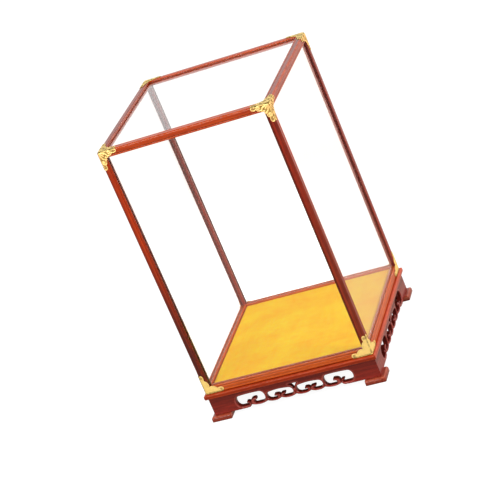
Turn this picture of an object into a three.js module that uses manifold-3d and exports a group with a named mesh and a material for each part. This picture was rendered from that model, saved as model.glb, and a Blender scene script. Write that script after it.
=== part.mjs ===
// A figurine display case: a glass cover in a slim hardwood frame that lifts off a low carved stand.
// Millimetres, +Z up, front towards -Y. The origin is on the ground, in the middle under the feet.

import * as THREE from "three";
import { mergeVertices } from "three/addons/utils/BufferGeometryUtils.js";
import Module from "manifold-3d";

const wasm = await Module();
wasm.setup();

// Overall size: over the foot pads, and up to the top of the brass.
const overallWidth = 140;
const overallDepth = 140;
const overallHeight = 230;

// Working gaps.
const glueLine = 0.1; // between two glued wooden faces
const metalSeat = 0.05; // under the nailed brass
const coverSeat = 0.3; // between the cover and the stand it rests on
const coverPlay = 0.6; // round the floor, so the cover drops over it
const clothSeat = 0.1; // between the silk and the board it is stretched over

// Frame bars and glass.
const barSize = 5.6; // side of a bar's square section
const barRound = 1.1; // radius of a bar's outer edge
const quirkInset = 1.5; // from a bar's inner edge to the quirk line cut along it
const quirkWidth = 0.8;
const quirkDepth = 0.45;
const glassThickness = 2;
const glassSetback = 1.3; // from a bar's outer face to the glass
const grooveDepth = 1.6;
const glassPlay = 0.1; // beside the glass in its groove
const glassReach = 1.4; // how far the glass enters its groove

// Brass guards on the eight corners of the cover.
const brassThickness = 0.4;
const guardArm = 15.5; // length of an arm from the corner
const guardTipWidth = 3.2; // width of an arm's rounded end
const guardTipLength = 4.6; // from an arm's end back to the first cusp
const guardWaist = 2.6; // width of an arm at that cusp
const guardSwell = 1.1; // how far the lobe next to the corner bulges
const guardNeck = 0.15; // how far the short stretch between the round end and the cusp bulges

// Stand.
const footHeight = 4;
const footSize = 16; // side of the square pad
const footRound = 1.6; // radius of the pad's upper outer edges
const footReveal = 2.9; // how far the pad stands out from the apron
const apronHeight = 14.5;
const apronThickness = 4;
const slabHeight = 4;
const slabWidth = 16; // of each member of the top frame
const slabReveal = 1.9; // how far the top frame stands out from the apron
const coverInset = 2; // from the top frame's edge to the cover
const floorRise = 4.9; // from the top frame to the top of the silk
const clothThickness = 0.4;
const floorRound = 0.5; // radius of the board's upper edges
const blockLeg = 8.5; // side of a corner block along the apron

// Scrollwork in the aprons. Heights are in mm. Lengths along an apron are in modules, which spread with the
// length between the feet.
const scrollMargin = 7.1; // from a foot pad to the nearest opening, in mm
const middlePillar = 3; // wood between the two inner openings
const sidePillar = 1.7; // wood between an inner and an outer opening
const heelReach = 4.2; // from the outer saddle to the straight lower edge by the foot
const heelBulge = 0.9; // of the curve between the straight lower edge and the first notch
const notchRise = 1.8; // from the straight lower edge up to the notches where two lobes meet
const lobeRise = 0.4; // from the straight lower edge up to the lobes
const scrollFloor = 2.1; // from the straight lower edge up to the floor of the openings
const scrollBand = 3.4; // wood left above the outer openings
const hookWidth = 2.2; // of a hook at its foot
const crestGap = 0.25; // half the gap between two hooks over their saddle
const wedgeWidth = 6.8; // of the small opening in the middle
const wedgeTip = 0.6; // width of its lower end
const wedgeHeight = 4;
const wedgeDrop = 3.6; // from the top of an apron to the wedge

// The two openings on each half of an apron. Each has a pair of hooks that rise from its floor and turn away
// from each other over a saddle. The saddle is placed from the end nearest the middle, and a hook's root and
// tip from the saddle. Rises are shares of the opening's height.
const innerOpening = {
  width: 20.8,
  end: 3.4,
  crownDrop: 2.1,
  nearSlope: 0.5,
  arch: 0.6,
  farSag: 0.4,
  saddleFromEnd: 10.5,
  saddleRise: 0.26,
  nearHook: { root: 2.4, tip: 4.1, rise: 0.47 },
  farHook: { root: 3, tip: 4.7, rise: 0.48 },
};
const outerOpening = {
  width: 22.9,
  end: 3.6,
  crownDrop: 0,
  nearSlope: 0.1,
  arch: 0.3,
  farSag: 0.3,
  saddleFromEnd: 12.3,
  saddleRise: 0.16,
  nearHook: { root: 3.4, tip: 5.4, rise: 0.52 },
  farHook: { root: 1.8, tip: 3, rise: 0.32 },
};

// Fineness of the outlines.
const curveSteps = 5; // steps of each curve of an opening
const weld = 1e-4; // points of a mesh nearer than this are one point
const leastStep = 1e-3; // shortest step of an outline

// Sizes that follow.
const apronFaceX = overallWidth / 2 - footReveal;
const apronFaceY = overallDepth / 2 - footReveal;
const slabEdgeX = apronFaceX + slabReveal;
const slabEdgeY = apronFaceY + slabReveal;
const coverHalfX = slabEdgeX - coverInset;
const coverHalfY = slabEdgeY - coverInset;
const apronBase = footHeight + glueLine;
const slabBase = apronBase + apronHeight + glueLine;
const standTop = slabBase + slabHeight;
const coverBase = standTop + coverSeat;
const coverTop = overallHeight - brassThickness - metalSeat;
const innerHalfX = coverHalfX - barSize;
const innerHalfY = coverHalfY - barSize;
const floorHalfX = innerHalfX - coverPlay;
const floorHalfY = innerHalfY - coverPlay;
const innerNear = middlePillar / 2;
const innerSaddle = innerNear + innerOpening.saddleFromEnd;
const innerFar = innerNear + innerOpening.width;
const outerNear = innerFar + sidePillar;
const outerSaddle = outerNear + outerOpening.saddleFromEnd;
const outerFar = outerNear + outerOpening.width;
const postBase = coverBase + barSize + glueLine;
const postTop = coverTop - barSize - glueLine;

const wood = new THREE.MeshStandardMaterial({ color: 0x8a2a14, roughness: 0.3, metalness: 0 });
const carvedWood = new THREE.MeshStandardMaterial({ color: 0x6e1f1a, roughness: 0.35, metalness: 0 });
const plainWood = new THREE.MeshStandardMaterial({ color: 0xb48a58, roughness: 0.7, metalness: 0 });
const brass = new THREE.MeshStandardMaterial({ color: 0xd8bd6a, roughness: 0.3, metalness: 1 });
const silk = new THREE.MeshStandardMaterial({ color: 0xf2b838, roughness: 0.6, metalness: 0 });
const glass = new THREE.MeshStandardMaterial({
  color: 0xf4faf8,
  roughness: 0.05,
  metalness: 0,
  transparent: true,
  opacity: 0.25,
});

const cover = new THREE.Group();
const stand = new THREE.Group();

// The four sides and corners in order round the case. A turn is in quarter turns about +Z from the front, or
// from the front left corner.
const sides = [
  { name: "front", turn: 0, length: "x", reach: "y" },
  { name: "right", turn: 1, length: "y", reach: "x" },
  { name: "back", turn: 2, length: "x", reach: "y" },
  { name: "left", turn: 3, length: "y", reach: "x" },
];
const corners = [
  { name: "front_left", turn: 0, x: -1, y: -1 },
  { name: "front_right", turn: 1, x: 1, y: -1 },
  { name: "back_right", turn: 2, x: 1, y: 1 },
  { name: "back_left", turn: 3, x: -1, y: 1 },
];

// A closed solid from a three.js geometry.
function solidOf(geometry) {
  const bare = geometry.clone();
  bare.deleteAttribute("normal");
  bare.deleteAttribute("uv");
  const merged = mergeVertices(bare, weld);
  const mesh = new wasm.Mesh({
    numProp: 3,
    vertProperties: merged.getAttribute("position").array,
    triVerts: new Uint32Array(merged.index.array),
  });
  return new wasm.Manifold(mesh);
}

// A three.js geometry from a closed solid.
function geometryOf(solid) {
  const mesh = solid.getMesh();
  const geometry = new THREE.BufferGeometry();
  const positions = new Float32Array(mesh.numVert * 3);
  for (let i = 0; i < mesh.numVert; i++) {
    positions.set(mesh.vertProperties.subarray(i * mesh.numProp, i * mesh.numProp + 3), i * 3);
  }
  geometry.setAttribute("position", new THREE.BufferAttribute(positions, 3));
  geometry.setIndex(new THREE.BufferAttribute(mesh.triVerts, 1));
  geometry.computeVertexNormals();
  return geometry;
}

// Adds a named piece to a group, in its place and turned by quarter turns about +Z.
function place(group, name, geometry, material, x, y, z, turn) {
  const mesh = new THREE.Mesh(geometry, material);
  mesh.name = name;
  mesh.position.set(x, y, z);
  mesh.rotation.z = (turn * Math.PI) / 2;
  group.add(mesh);
}

// Puts a piece in the middle of one side of the case, at a distance from the centre and a height.
function placeOnSide(group, name, geometry, material, side, distance, z) {
  const angle = (side.turn * Math.PI) / 2;
  const x = Math.sin(angle) * distance;
  const y = -Math.cos(angle) * distance;
  place(group, name, geometry, material, x, y, z, side.turn);
}

// Points of the arc from a to b that bulges to the right of that way by the given height, without a itself. A
// negative height bulges to the left.
function arcTo(a, b, bulge, steps) {
  const chord = b.clone().sub(a);
  const half = chord.length() / 2;
  const radius = (half * half + bulge * bulge) / (2 * Math.abs(bulge));
  const outward = new THREE.Vector2(chord.y, -chord.x).normalize().multiplyScalar(Math.sign(bulge));
  const centre = a.clone().add(b).multiplyScalar(0.5).addScaledVector(outward, Math.abs(bulge) - radius);
  const from = a.clone().sub(centre).angle();
  const sweep = 2 * Math.asin(Math.min(1, half / radius)) * Math.sign(bulge);
  const points = [];
  for (let i = 1; i <= steps; i++) {
    const angle = from + (sweep * i) / steps;
    points.push(new THREE.Vector2(centre.x + radius * Math.cos(angle), centre.y + radius * Math.sin(angle)));
  }
  return points;
}

// An outline carried straight along +Z.
function extrude(points, length) {
  const options = { depth: length, bevelEnabled: false, steps: 1 };
  return new THREE.ExtrudeGeometry(new THREE.Shape(points), options);
}

// A bar along X with mitred ends. The section's x is the distance in from the outer face, its y is up.
function mitredBar(section, length) {
  const geometry = extrude(section, length);
  const positions = geometry.getAttribute("position");
  for (let i = 0; i < positions.count; i++) {
    const inward = positions.getX(i);
    const up = positions.getY(i);
    const end = positions.getZ(i) > length / 2 ? 1 : -1;
    const along = end * (length / 2 - inward - glueLine / 2);
    positions.setXYZ(i, along, inward, up);
  }
  geometry.computeVertexNormals();
  return geometry;
}

// Cover frame

// Section shared by the posts and top rails, in distances in from the two outer faces. The outer edge is
// rounded, each outer face has a quirk near its inner edge, and each inner face has a groove for the glass.
function frameSection() {
  const grooveNear = glassSetback - glassPlay;
  const grooveFar = glassSetback + glassThickness + glassPlay;
  const quirk = barSize - quirkInset;
  const halfQuirk = quirkWidth / 2;
  const face = [
    [0, quirk - halfQuirk],
    [quirkDepth, quirk],
    [0, quirk + halfQuirk],
    [0, barSize],
    [grooveNear, barSize],
    [grooveNear, barSize - grooveDepth],
    [grooveFar, barSize - grooveDepth],
    [grooveFar, barSize],
  ].map(([a, b]) => new THREE.Vector2(a, b));
  const mirrored = face.map((point) => new THREE.Vector2(point.y, point.x)).reverse();
  const roundStart = new THREE.Vector2(barRound, 0);
  const roundEnd = new THREE.Vector2(0, barRound);
  const edge = arcTo(roundStart, roundEnd, -barRound * (1 - Math.SQRT1_2), 4);
  return [roundStart, ...edge, ...face, new THREE.Vector2(barSize, barSize), ...mirrored];
}

// Section of a bottom rail: outer edge rounded over, a quirk below it, and one groove on top.
function bottomRailSection() {
  const grooveNear = glassSetback - glassPlay;
  const grooveFar = glassSetback + glassThickness + glassPlay;
  const quirk = barSize - quirkInset;
  const halfQuirk = quirkWidth / 2;
  const lowerFace = [
    [barSize, 0],
    [barSize, barSize],
    [grooveFar, barSize],
    [grooveFar, barSize - grooveDepth],
    [grooveNear, barSize - grooveDepth],
    [grooveNear, barSize],
  ].map(([a, b]) => new THREE.Vector2(a, b));
  const roundStart = new THREE.Vector2(quirkDepth * 2, barSize);
  const roundEnd = new THREE.Vector2(0, quirk + halfQuirk);
  const edge = arcTo(roundStart, roundEnd, quirkDepth / 2, 3);
  const below = [
    [quirkDepth, quirk],
    [0, quirk - halfQuirk],
    [0, 0],
  ].map(([a, b]) => new THREE.Vector2(a, b));
  return [...lowerFace, roundStart, ...edge, ...below];
}

function addPosts() {
  const section = frameSection();
  for (const corner of corners) {
    const geometry = extrude(section, postTop - postBase);
    const x = corner.x * coverHalfX;
    const y = corner.y * coverHalfY;
    place(cover, "post_" + corner.name, geometry, wood, x, y, postBase, corner.turn);
  }
}

function addRails() {
  const half = { x: coverHalfX, y: coverHalfY };
  // The outer corner of the section is up, so its second coordinate is turned downwards from the top.
  const topSection = frameSection().map((point) => new THREE.Vector2(point.x, barSize - point.y)).reverse();
  for (const side of sides) {
    const length = 2 * half[side.length];
    const topRail = mitredBar(topSection, length);
    placeOnSide(cover, "top_rail_" + side.name, topRail, wood, side, half[side.reach], coverTop - barSize);
    const bottomRail = mitredBar(bottomRailSection(), length);
    placeOnSide(cover, "bottom_rail_" + side.name, bottomRail, wood, side, half[side.reach], coverBase);
  }
}

function addPanes() {
  const half = { x: innerHalfX + glassReach, y: innerHalfY + glassReach };
  const bottom = coverBase + barSize - glassReach;
  const top = coverTop - barSize + glassReach;
  const reach = { x: coverHalfX, y: coverHalfY };
  for (const side of sides) {
    const geometry = new THREE.BoxGeometry(2 * half[side.length], glassThickness, top - bottom);
    const distance = reach[side.reach] - glassSetback - glassThickness / 2;
    placeOnSide(cover, "pane_" + side.name, geometry, glass, side, distance, (top + bottom) / 2);
  }
  const topPane = new THREE.BoxGeometry(2 * half.x, 2 * half.y, glassThickness);
  place(cover, "pane_top", topPane, glass, 0, 0, coverTop - glassSetback - glassThickness / 2, 0);
}

// Brass guards

// One face of a guard, with its outer corner just outside the corner of the wood. Both arms are alike: a
// rounded end, a cusp and a lobe that widens to the full bar where the arms meet.
function guardFace() {
  const out = -(metalSeat + brassThickness);
  const tip = out + guardTipWidth;
  const armStart = guardArm - guardTipWidth / 2;
  const meeting = new THREE.Vector2(barSize, barSize);
  const armUnder = new THREE.Vector2(armStart, out);
  const armOver = new THREE.Vector2(armStart, tip);
  const cusp = new THREE.Vector2(guardArm - guardTipLength, guardWaist);
  const arm = [
    armUnder,
    ...arcTo(armUnder, armOver, guardTipWidth / 2, 6),
    ...arcTo(armOver, cusp, guardNeck, 2),
    ...arcTo(cusp, meeting, guardSwell, 5),
  ];
  const mirrored = arm.slice(0, -1).map((point) => new THREE.Vector2(point.y, point.x)).reverse();
  return [new THREE.Vector2(out, out), ...arm, ...mirrored];
}

// A guard at the front left: plates on the front and left faces and, at the top, on the upper face too. The
// plates share their edges at the corner, so together they are one bent sheet. Arms run away from the corner.
function guardSolid(upDirection, withTop) {
  const outline = guardFace();
  const lift = -(metalSeat + brassThickness);
  const plate = solidOf(extrude(outline, brassThickness));
  // Front plate: x along the front, y of the outline along the post.
  const front = new THREE.Matrix4().makeBasis(
    new THREE.Vector3(1, 0, 0),
    new THREE.Vector3(0, 0, upDirection),
    new THREE.Vector3(0, 1, 0),
  );
  front.setPosition(0, lift, 0);
  const left = new THREE.Matrix4().makeBasis(
    new THREE.Vector3(0, 1, 0),
    new THREE.Vector3(0, 0, upDirection),
    new THREE.Vector3(1, 0, 0),
  );
  left.setPosition(lift, 0, 0);
  let guard = plate.transform(front.toArray()).add(plate.transform(left.toArray()));
  if (withTop) {
    const top = new THREE.Matrix4().makeTranslation(0, 0, metalSeat);
    guard = guard.add(plate.transform(top.toArray()));
  }
  return guard;
}

function addGuards() {
  const topGuard = guardSolid(-1, true);
  const bottomGuard = guardSolid(1, false);
  for (const corner of corners) {
    const x = corner.x * coverHalfX;
    const y = corner.y * coverHalfY;
    place(cover, "top_corner_" + corner.name, geometryOf(topGuard), brass, x, y, coverTop, corner.turn);
    // The lower edge of a bottom guard is level with the rail, clear of the stand.
    const bottomZ = coverBase + metalSeat + brassThickness;
    place(cover, "bottom_corner_" + corner.name, geometryOf(bottomGuard), brass, x, y, bottomZ, corner.turn);
  }
}

// Stand

// The top frame's section: flat above and below, with its outer edge a half round.
function slabSection() {
  const radius = slabHeight / 2;
  const upper = new THREE.Vector2(radius, slabHeight);
  const lower = new THREE.Vector2(radius, 0);
  return [lower, new THREE.Vector2(slabWidth, 0), new THREE.Vector2(slabWidth, slabHeight), upper,
    ...arcTo(upper, lower, radius, 8).slice(0, -1)];
}

function addTopFrame() {
  const edge = { x: slabEdgeX, y: slabEdgeY };
  for (const side of sides) {
    const geometry = mitredBar(slabSection(), 2 * edge[side.length]);
    placeOnSide(stand, "base_rail_" + side.name, geometry, wood, side, edge[side.reach], slabBase);
  }
}

// A slab with its upper edges rounded: two rounded sections, one along X and one along Y, where they cross.
function roundedSlab(halfX, halfY, height, radius) {
  const crossing = (half, length) => {
    const left = new THREE.Vector2(-half, height - radius);
    const right = new THREE.Vector2(half, height - radius);
    const section = [
      new THREE.Vector2(-half, 0),
      new THREE.Vector2(half, 0),
      right,
      ...arcTo(right, new THREE.Vector2(half - radius, height), radius * (1 - Math.SQRT1_2), 3),
      new THREE.Vector2(radius - half, height),
      ...arcTo(new THREE.Vector2(radius - half, height), left, radius * (1 - Math.SQRT1_2), 3),
    ];
    return solidOf(extrude(section, 2 * length).translate(0, 0, -length).rotateX(Math.PI / 2));
  };
  const alongY = crossing(halfX, halfY + 1);
  const alongX = crossing(halfY, halfX + 1).rotate([0, 0, 90]);
  return alongY.intersect(alongX);
}

function addFloor() {
  const boardBase = standTop + glueLine;
  const clothHeight = floorRise - glueLine;
  const wrap = clothThickness + clothSeat;
  const boardHeight = clothHeight - wrap;
  const board = roundedSlab(floorHalfX - wrap, floorHalfY - wrap, boardHeight, floorRound);
  place(stand, "floor_board", geometryOf(board), plainWood, 0, 0, boardBase, 0);
  const outside = roundedSlab(floorHalfX, floorHalfY, clothHeight, floorRound + wrap);
  const insideX = floorHalfX - clothThickness;
  const insideY = floorHalfY - clothThickness;
  const inside = roundedSlab(insideX, insideY, clothHeight - clothThickness, floorRound + clothSeat);
  // The cloth is open below, so what is taken out of it runs past its lower edge.
  const openBelow = inside.add(inside.translate([0, 0, -clothHeight / 2]));
  place(stand, "silk_cover", geometryOf(outside.subtract(openBelow)), silk, 0, 0, boardBase, 0);
}

// The points that shape one hook, from its outer root up to the tip, over the head and down to the saddle.
// facing is 1 for a hook that turns towards the foot and -1 for one that turns towards the middle.
function hookPoints(hook, facing, saddleModule, floor, height, unit) {
  const at = (out, rise) => new THREE.Vector2((saddleModule + facing * out) * unit, floor + rise * height);
  return {
    root: at(hook.root + hookWidth / 2, 0),
    underRoot: at(hook.root - hookWidth / 4, 0),
    throat: at(hook.root - hookWidth / 6, hook.rise * 0.45),
    underTip: at(hook.root, hook.rise * 0.62),
    tip: at(hook.tip, hook.rise * 0.6),
    overTip: at(hook.tip + crestGap * 2, hook.rise * 1.02),
    head: at((hook.root + hook.tip) / 2, hook.rise),
    nape: at(crestGap, hook.rise * 1.02),
  };
}

// One cloud-shaped opening on the right half of an apron, with its ends and its saddle at the given modules.
function cloudOpening(opening, nearModule, saddleModule, farModule, unit) {
  const floor = apronBase + scrollFloor;
  const crown = apronBase + apronHeight - scrollBand - opening.crownDrop;
  const height = crown - floor;
  const near = nearModule * unit;
  const far = farModule * unit;
  const end = opening.end * unit;
  const swell = end / 3;
  const nearTop = crown - opening.nearSlope;
  const farTop = crown - opening.farSag;
  const saddle = new THREE.Vector2(saddleModule * unit, floor + opening.saddleRise * height);
  const farHook = hookPoints(opening.farHook, 1, saddleModule, floor, height, unit);
  const nearHook = hookPoints(opening.nearHook, -1, saddleModule, floor, height, unit);
  const path = new THREE.Path();
  const curveTo = (control, point) => path.quadraticCurveTo(control.x, control.y, point.x, point.y);
  path.moveTo(near + end, floor);
  path.bezierCurveTo(near - swell, floor, near - swell, nearTop, near + end, nearTop);
  path.quadraticCurveTo((near + far) / 2, crown + opening.arch, far - end, farTop);
  path.bezierCurveTo(far + swell, farTop, far + swell, floor, far - end, floor);
  path.lineTo(farHook.root.x, farHook.root.y);
  curveTo(farHook.underRoot, farHook.throat);
  curveTo(farHook.underTip, farHook.tip);
  curveTo(farHook.overTip, farHook.head);
  curveTo(farHook.nape, saddle);
  curveTo(nearHook.nape, nearHook.head);
  curveTo(nearHook.overTip, nearHook.tip);
  curveTo(nearHook.underTip, nearHook.throat);
  curveTo(nearHook.underRoot, nearHook.root);
  path.closePath();
  return path.getPoints(curveSteps);
}

// The small opening in the middle of an apron, a wedge with hollow sides.
function wedgeOpening(unit) {
  const top = apronBase + apronHeight - wedgeDrop;
  const half = (wedgeWidth / 2) * unit;
  const tip = (wedgeTip / 2) * unit;
  const path = new THREE.Path();
  path.moveTo(-half, top);
  path.quadraticCurveTo(-half / 2, top - wedgeHeight / 5, -tip, top - wedgeHeight);
  path.lineTo(tip, top - wedgeHeight);
  path.quadraticCurveTo(half / 2, top - wedgeHeight / 5, half, top);
  path.closePath();
  return path.getPoints(3);
}

// Leaves out points that fall together, which the triangulation can't take.
function distinct(points) {
  return points.filter((point, i) => point.distanceTo(points[(i + 1) % points.length]) > leastStep);
}

// The apron's outline: straight by the feet, then lobes that meet in notches under the saddles and the
// pillars, alike on both halves.
function apronOutline(halfLength, unit) {
  const places = [outerSaddle, (innerFar + outerNear) / 2, innerSaddle, 0];
  const notches = places.map((module) => new THREE.Vector2(module * unit, apronBase + notchRise));
  const right = [new THREE.Vector2((outerSaddle + heelReach) * unit, apronBase)];
  right.push(...arcTo(right[0], notches[0], -heelBulge, 3));
  for (let i = 1; i < notches.length; i++) {
    right.push(...arcTo(notches[i - 1], notches[i], lobeRise - notchRise, 5));
  }
  const left = right.slice(0, -1).map((point) => new THREE.Vector2(-point.x, point.y));
  const top = apronBase + apronHeight;
  return [
    new THREE.Vector2(-halfLength, top),
    new THREE.Vector2(-halfLength, apronBase),
    ...left,
    ...right.reverse(),
    new THREE.Vector2(halfLength, apronBase),
    new THREE.Vector2(halfLength, top),
  ];
}

// A pierced apron with its outer face at y = 0 and mitred ends.
function apronGeometry(halfLength) {
  const unit = (halfLength - (footSize - footReveal) - scrollMargin) / outerFar;
  const shape = new THREE.Shape(distinct(apronOutline(halfLength, unit)));
  const openings = [
    cloudOpening(outerOpening, outerNear, outerSaddle, outerFar, unit),
    cloudOpening(innerOpening, innerNear, innerSaddle, innerFar, unit),
  ];
  for (const points of openings.map(distinct)) {
    const mirrored = points.map((point) => new THREE.Vector2(-point.x, point.y)).reverse();
    shape.holes.push(new THREE.Path(points), new THREE.Path(mirrored));
  }
  shape.holes.push(new THREE.Path(distinct(wedgeOpening(unit))));
  const options = { depth: apronThickness, bevelEnabled: false, steps: 1 };
  const geometry = new THREE.ExtrudeGeometry(shape, options);
  const positions = geometry.getAttribute("position");
  for (let i = 0; i < positions.count; i++) {
    const along = positions.getX(i);
    const up = positions.getY(i);
    const inward = apronThickness - positions.getZ(i);
    const atEnd = Math.abs(Math.abs(along) - halfLength) < weld;
    const mitre = atEnd ? Math.sign(along) * (inward + glueLine / 2) : 0;
    positions.setXYZ(i, along - mitre, inward, up);
  }
  geometry.computeVertexNormals();
  return geometry;
}

function addAprons() {
  const face = { x: apronFaceX, y: apronFaceY };
  for (const side of sides) {
    const geometry = apronGeometry(face[side.length]);
    placeOnSide(stand, "apron_" + side.name, geometry, carvedWood, side, face[side.reach], 0);
  }
}

// A foot pad at the front left, with its outer upper edges rounded: two sections where they cross.
function footSolid() {
  const edgeStart = new THREE.Vector2(0, footHeight - footRound);
  const edgeEnd = new THREE.Vector2(footRound, footHeight);
  const section = [
    new THREE.Vector2(0, 0),
    edgeStart,
    ...arcTo(edgeStart, edgeEnd, -footRound * (1 - Math.SQRT1_2), 4),
    new THREE.Vector2(footSize, footHeight),
    new THREE.Vector2(footSize, 0),
  ].reverse();
  const alongY = solidOf(extrude(section, footSize).rotateX(Math.PI / 2).translate(0, footSize, 0));
  const alongX = alongY.rotate([0, 0, -90]).mirror([0, 1, 0]);
  return alongY.intersect(alongX);
}

function addFeet() {
  const foot = footSolid();
  const legs = [new THREE.Vector2(0, 0), new THREE.Vector2(blockLeg, 0), new THREE.Vector2(0, blockLeg)];
  const blockInset = apronThickness + glueLine;
  for (const corner of corners) {
    const x = (corner.x * overallWidth) / 2;
    const y = (corner.y * overallDepth) / 2;
    place(stand, "foot_" + corner.name, geometryOf(foot), carvedWood, x, y, 0, corner.turn);
    const block = extrude(legs, apronHeight);
    const blockX = corner.x * (apronFaceX - blockInset);
    const blockY = corner.y * (apronFaceY - blockInset);
    place(stand, "corner_block_" + corner.name, block, plainWood, blockX, blockY, apronBase, corner.turn);
  }
}

addPosts();
addRails();
addPanes();
addGuards();
addTopFrame();
addFloor();
addAprons();
addFeet();

const displayCase = new THREE.Group();
displayCase.add(cover, stand);

export default displayCase;
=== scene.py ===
"""Looks of a figurine display case: a glass cover in a slim frame, over a low, carved and pierced stand.

Shapes are worked out in millimetres and become metres when they are built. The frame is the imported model's:
+Z up, +X to the right seen from the front, and -Y towards the front. The case is square, so a piece of one
side or corner is made at the front, or at the front left, and turned by quarter turns about +Z.
"""

import logging
import math
from dataclasses import dataclass, field, replace
from enum import Enum

import bmesh
import bpy
import numpy as np
from mathutils import Matrix, Vector
from mathutils.geometry import delaunay_2d_cdt


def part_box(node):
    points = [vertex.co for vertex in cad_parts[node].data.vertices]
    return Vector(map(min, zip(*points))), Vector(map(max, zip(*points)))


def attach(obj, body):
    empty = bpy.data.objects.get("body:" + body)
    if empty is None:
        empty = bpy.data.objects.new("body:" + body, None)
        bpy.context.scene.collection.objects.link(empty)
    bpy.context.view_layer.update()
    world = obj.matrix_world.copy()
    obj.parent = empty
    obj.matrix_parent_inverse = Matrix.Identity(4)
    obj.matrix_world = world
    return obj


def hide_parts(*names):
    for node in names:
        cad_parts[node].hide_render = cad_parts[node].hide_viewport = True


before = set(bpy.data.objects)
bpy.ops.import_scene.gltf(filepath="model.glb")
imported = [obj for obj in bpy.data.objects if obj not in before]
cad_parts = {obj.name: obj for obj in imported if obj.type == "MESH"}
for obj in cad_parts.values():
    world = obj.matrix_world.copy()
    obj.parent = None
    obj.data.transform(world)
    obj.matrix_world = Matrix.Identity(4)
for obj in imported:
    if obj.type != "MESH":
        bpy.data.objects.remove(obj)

log = logging.getLogger("display_case")
Array = np.ndarray
Node = bpy.types.Node
Socket = bpy.types.NodeSocket
Sockets = bpy.types.bpy_prop_collection
Piece = bpy.types.Object
Triple = tuple[float, float, float]
Colour = Triple
Point = Array | tuple[float, float]
Cusps = tuple[Triple, ...]
MM = 0.001
# How many points are compared at once with all the edges of an outline.
BLOCK = 1500
# How far apart, in mm, two pieces are cut from the stock.
STOCK_STEP = np.array([97.0, 31.0, 53.0])


class Turned(Enum):
    """Places round the case, each by its quarter turns from the first."""

    @property
    def label(self) -> str:
        """The place's words in the names of pieces."""
        return self.name.lower()


class Side(Turned):
    """The four sides."""

    FRONT = 0
    RIGHT = 1
    BACK = 2
    LEFT = 3


class Corner(Turned):
    """The four corners."""

    FRONT_LEFT = 0
    FRONT_RIGHT = 1
    BACK_RIGHT = 2
    BACK_LEFT = 3


class Body(Enum):
    """The two bodies that move apart."""

    COVER = "cover"
    STAND = "stand"


def box_mm(node: str) -> tuple[Array, Array]:
    """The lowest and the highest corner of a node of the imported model, in millimetres."""
    low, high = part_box(node)
    return np.array(low) / MM, np.array(high) / MM


def quarter_turn(points: Array, turns: int) -> Array:
    """Turns points about +Z by quarter turns.

    Args:
        points: rows of three coordinates.
        turns: number of quarter turns, from the front towards the right.

    Returns:
        The turned rows.
    """
    cosine = (1, 0, -1, 0)[turns % 4]
    sine = (0, 1, 0, -1)[turns % 4]
    turn = np.array([[cosine, -sine, 0], [sine, cosine, 0], [0, 0, 1]], float)
    return points @ turn.T


def eased(share: Array) -> Array:
    """A share from 0 to 1 that starts and stops softly: three times its square less twice its cube."""
    return share * share * (3 - 2 * share)


def nearness(distance: Array, reach: float) -> Array:
    """1 at no distance, falling evenly to 0 at the reach and beyond."""
    return np.clip(1 - distance / reach, 0, 1)


def directions(angles: Array) -> Array:
    """The way that each angle points, as rows of its cosine and its sine."""
    return np.stack([np.cos(angles), np.sin(angles)], axis=1)


def face_values(mesh: bpy.types.Mesh, name: str) -> Array:
    """A mesh's face normals or face centres, as rows of three numbers."""
    values = np.empty(len(mesh.polygons) * 3)
    mesh.polygons.foreach_get(name, values)
    return values.reshape(-1, 3)


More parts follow.
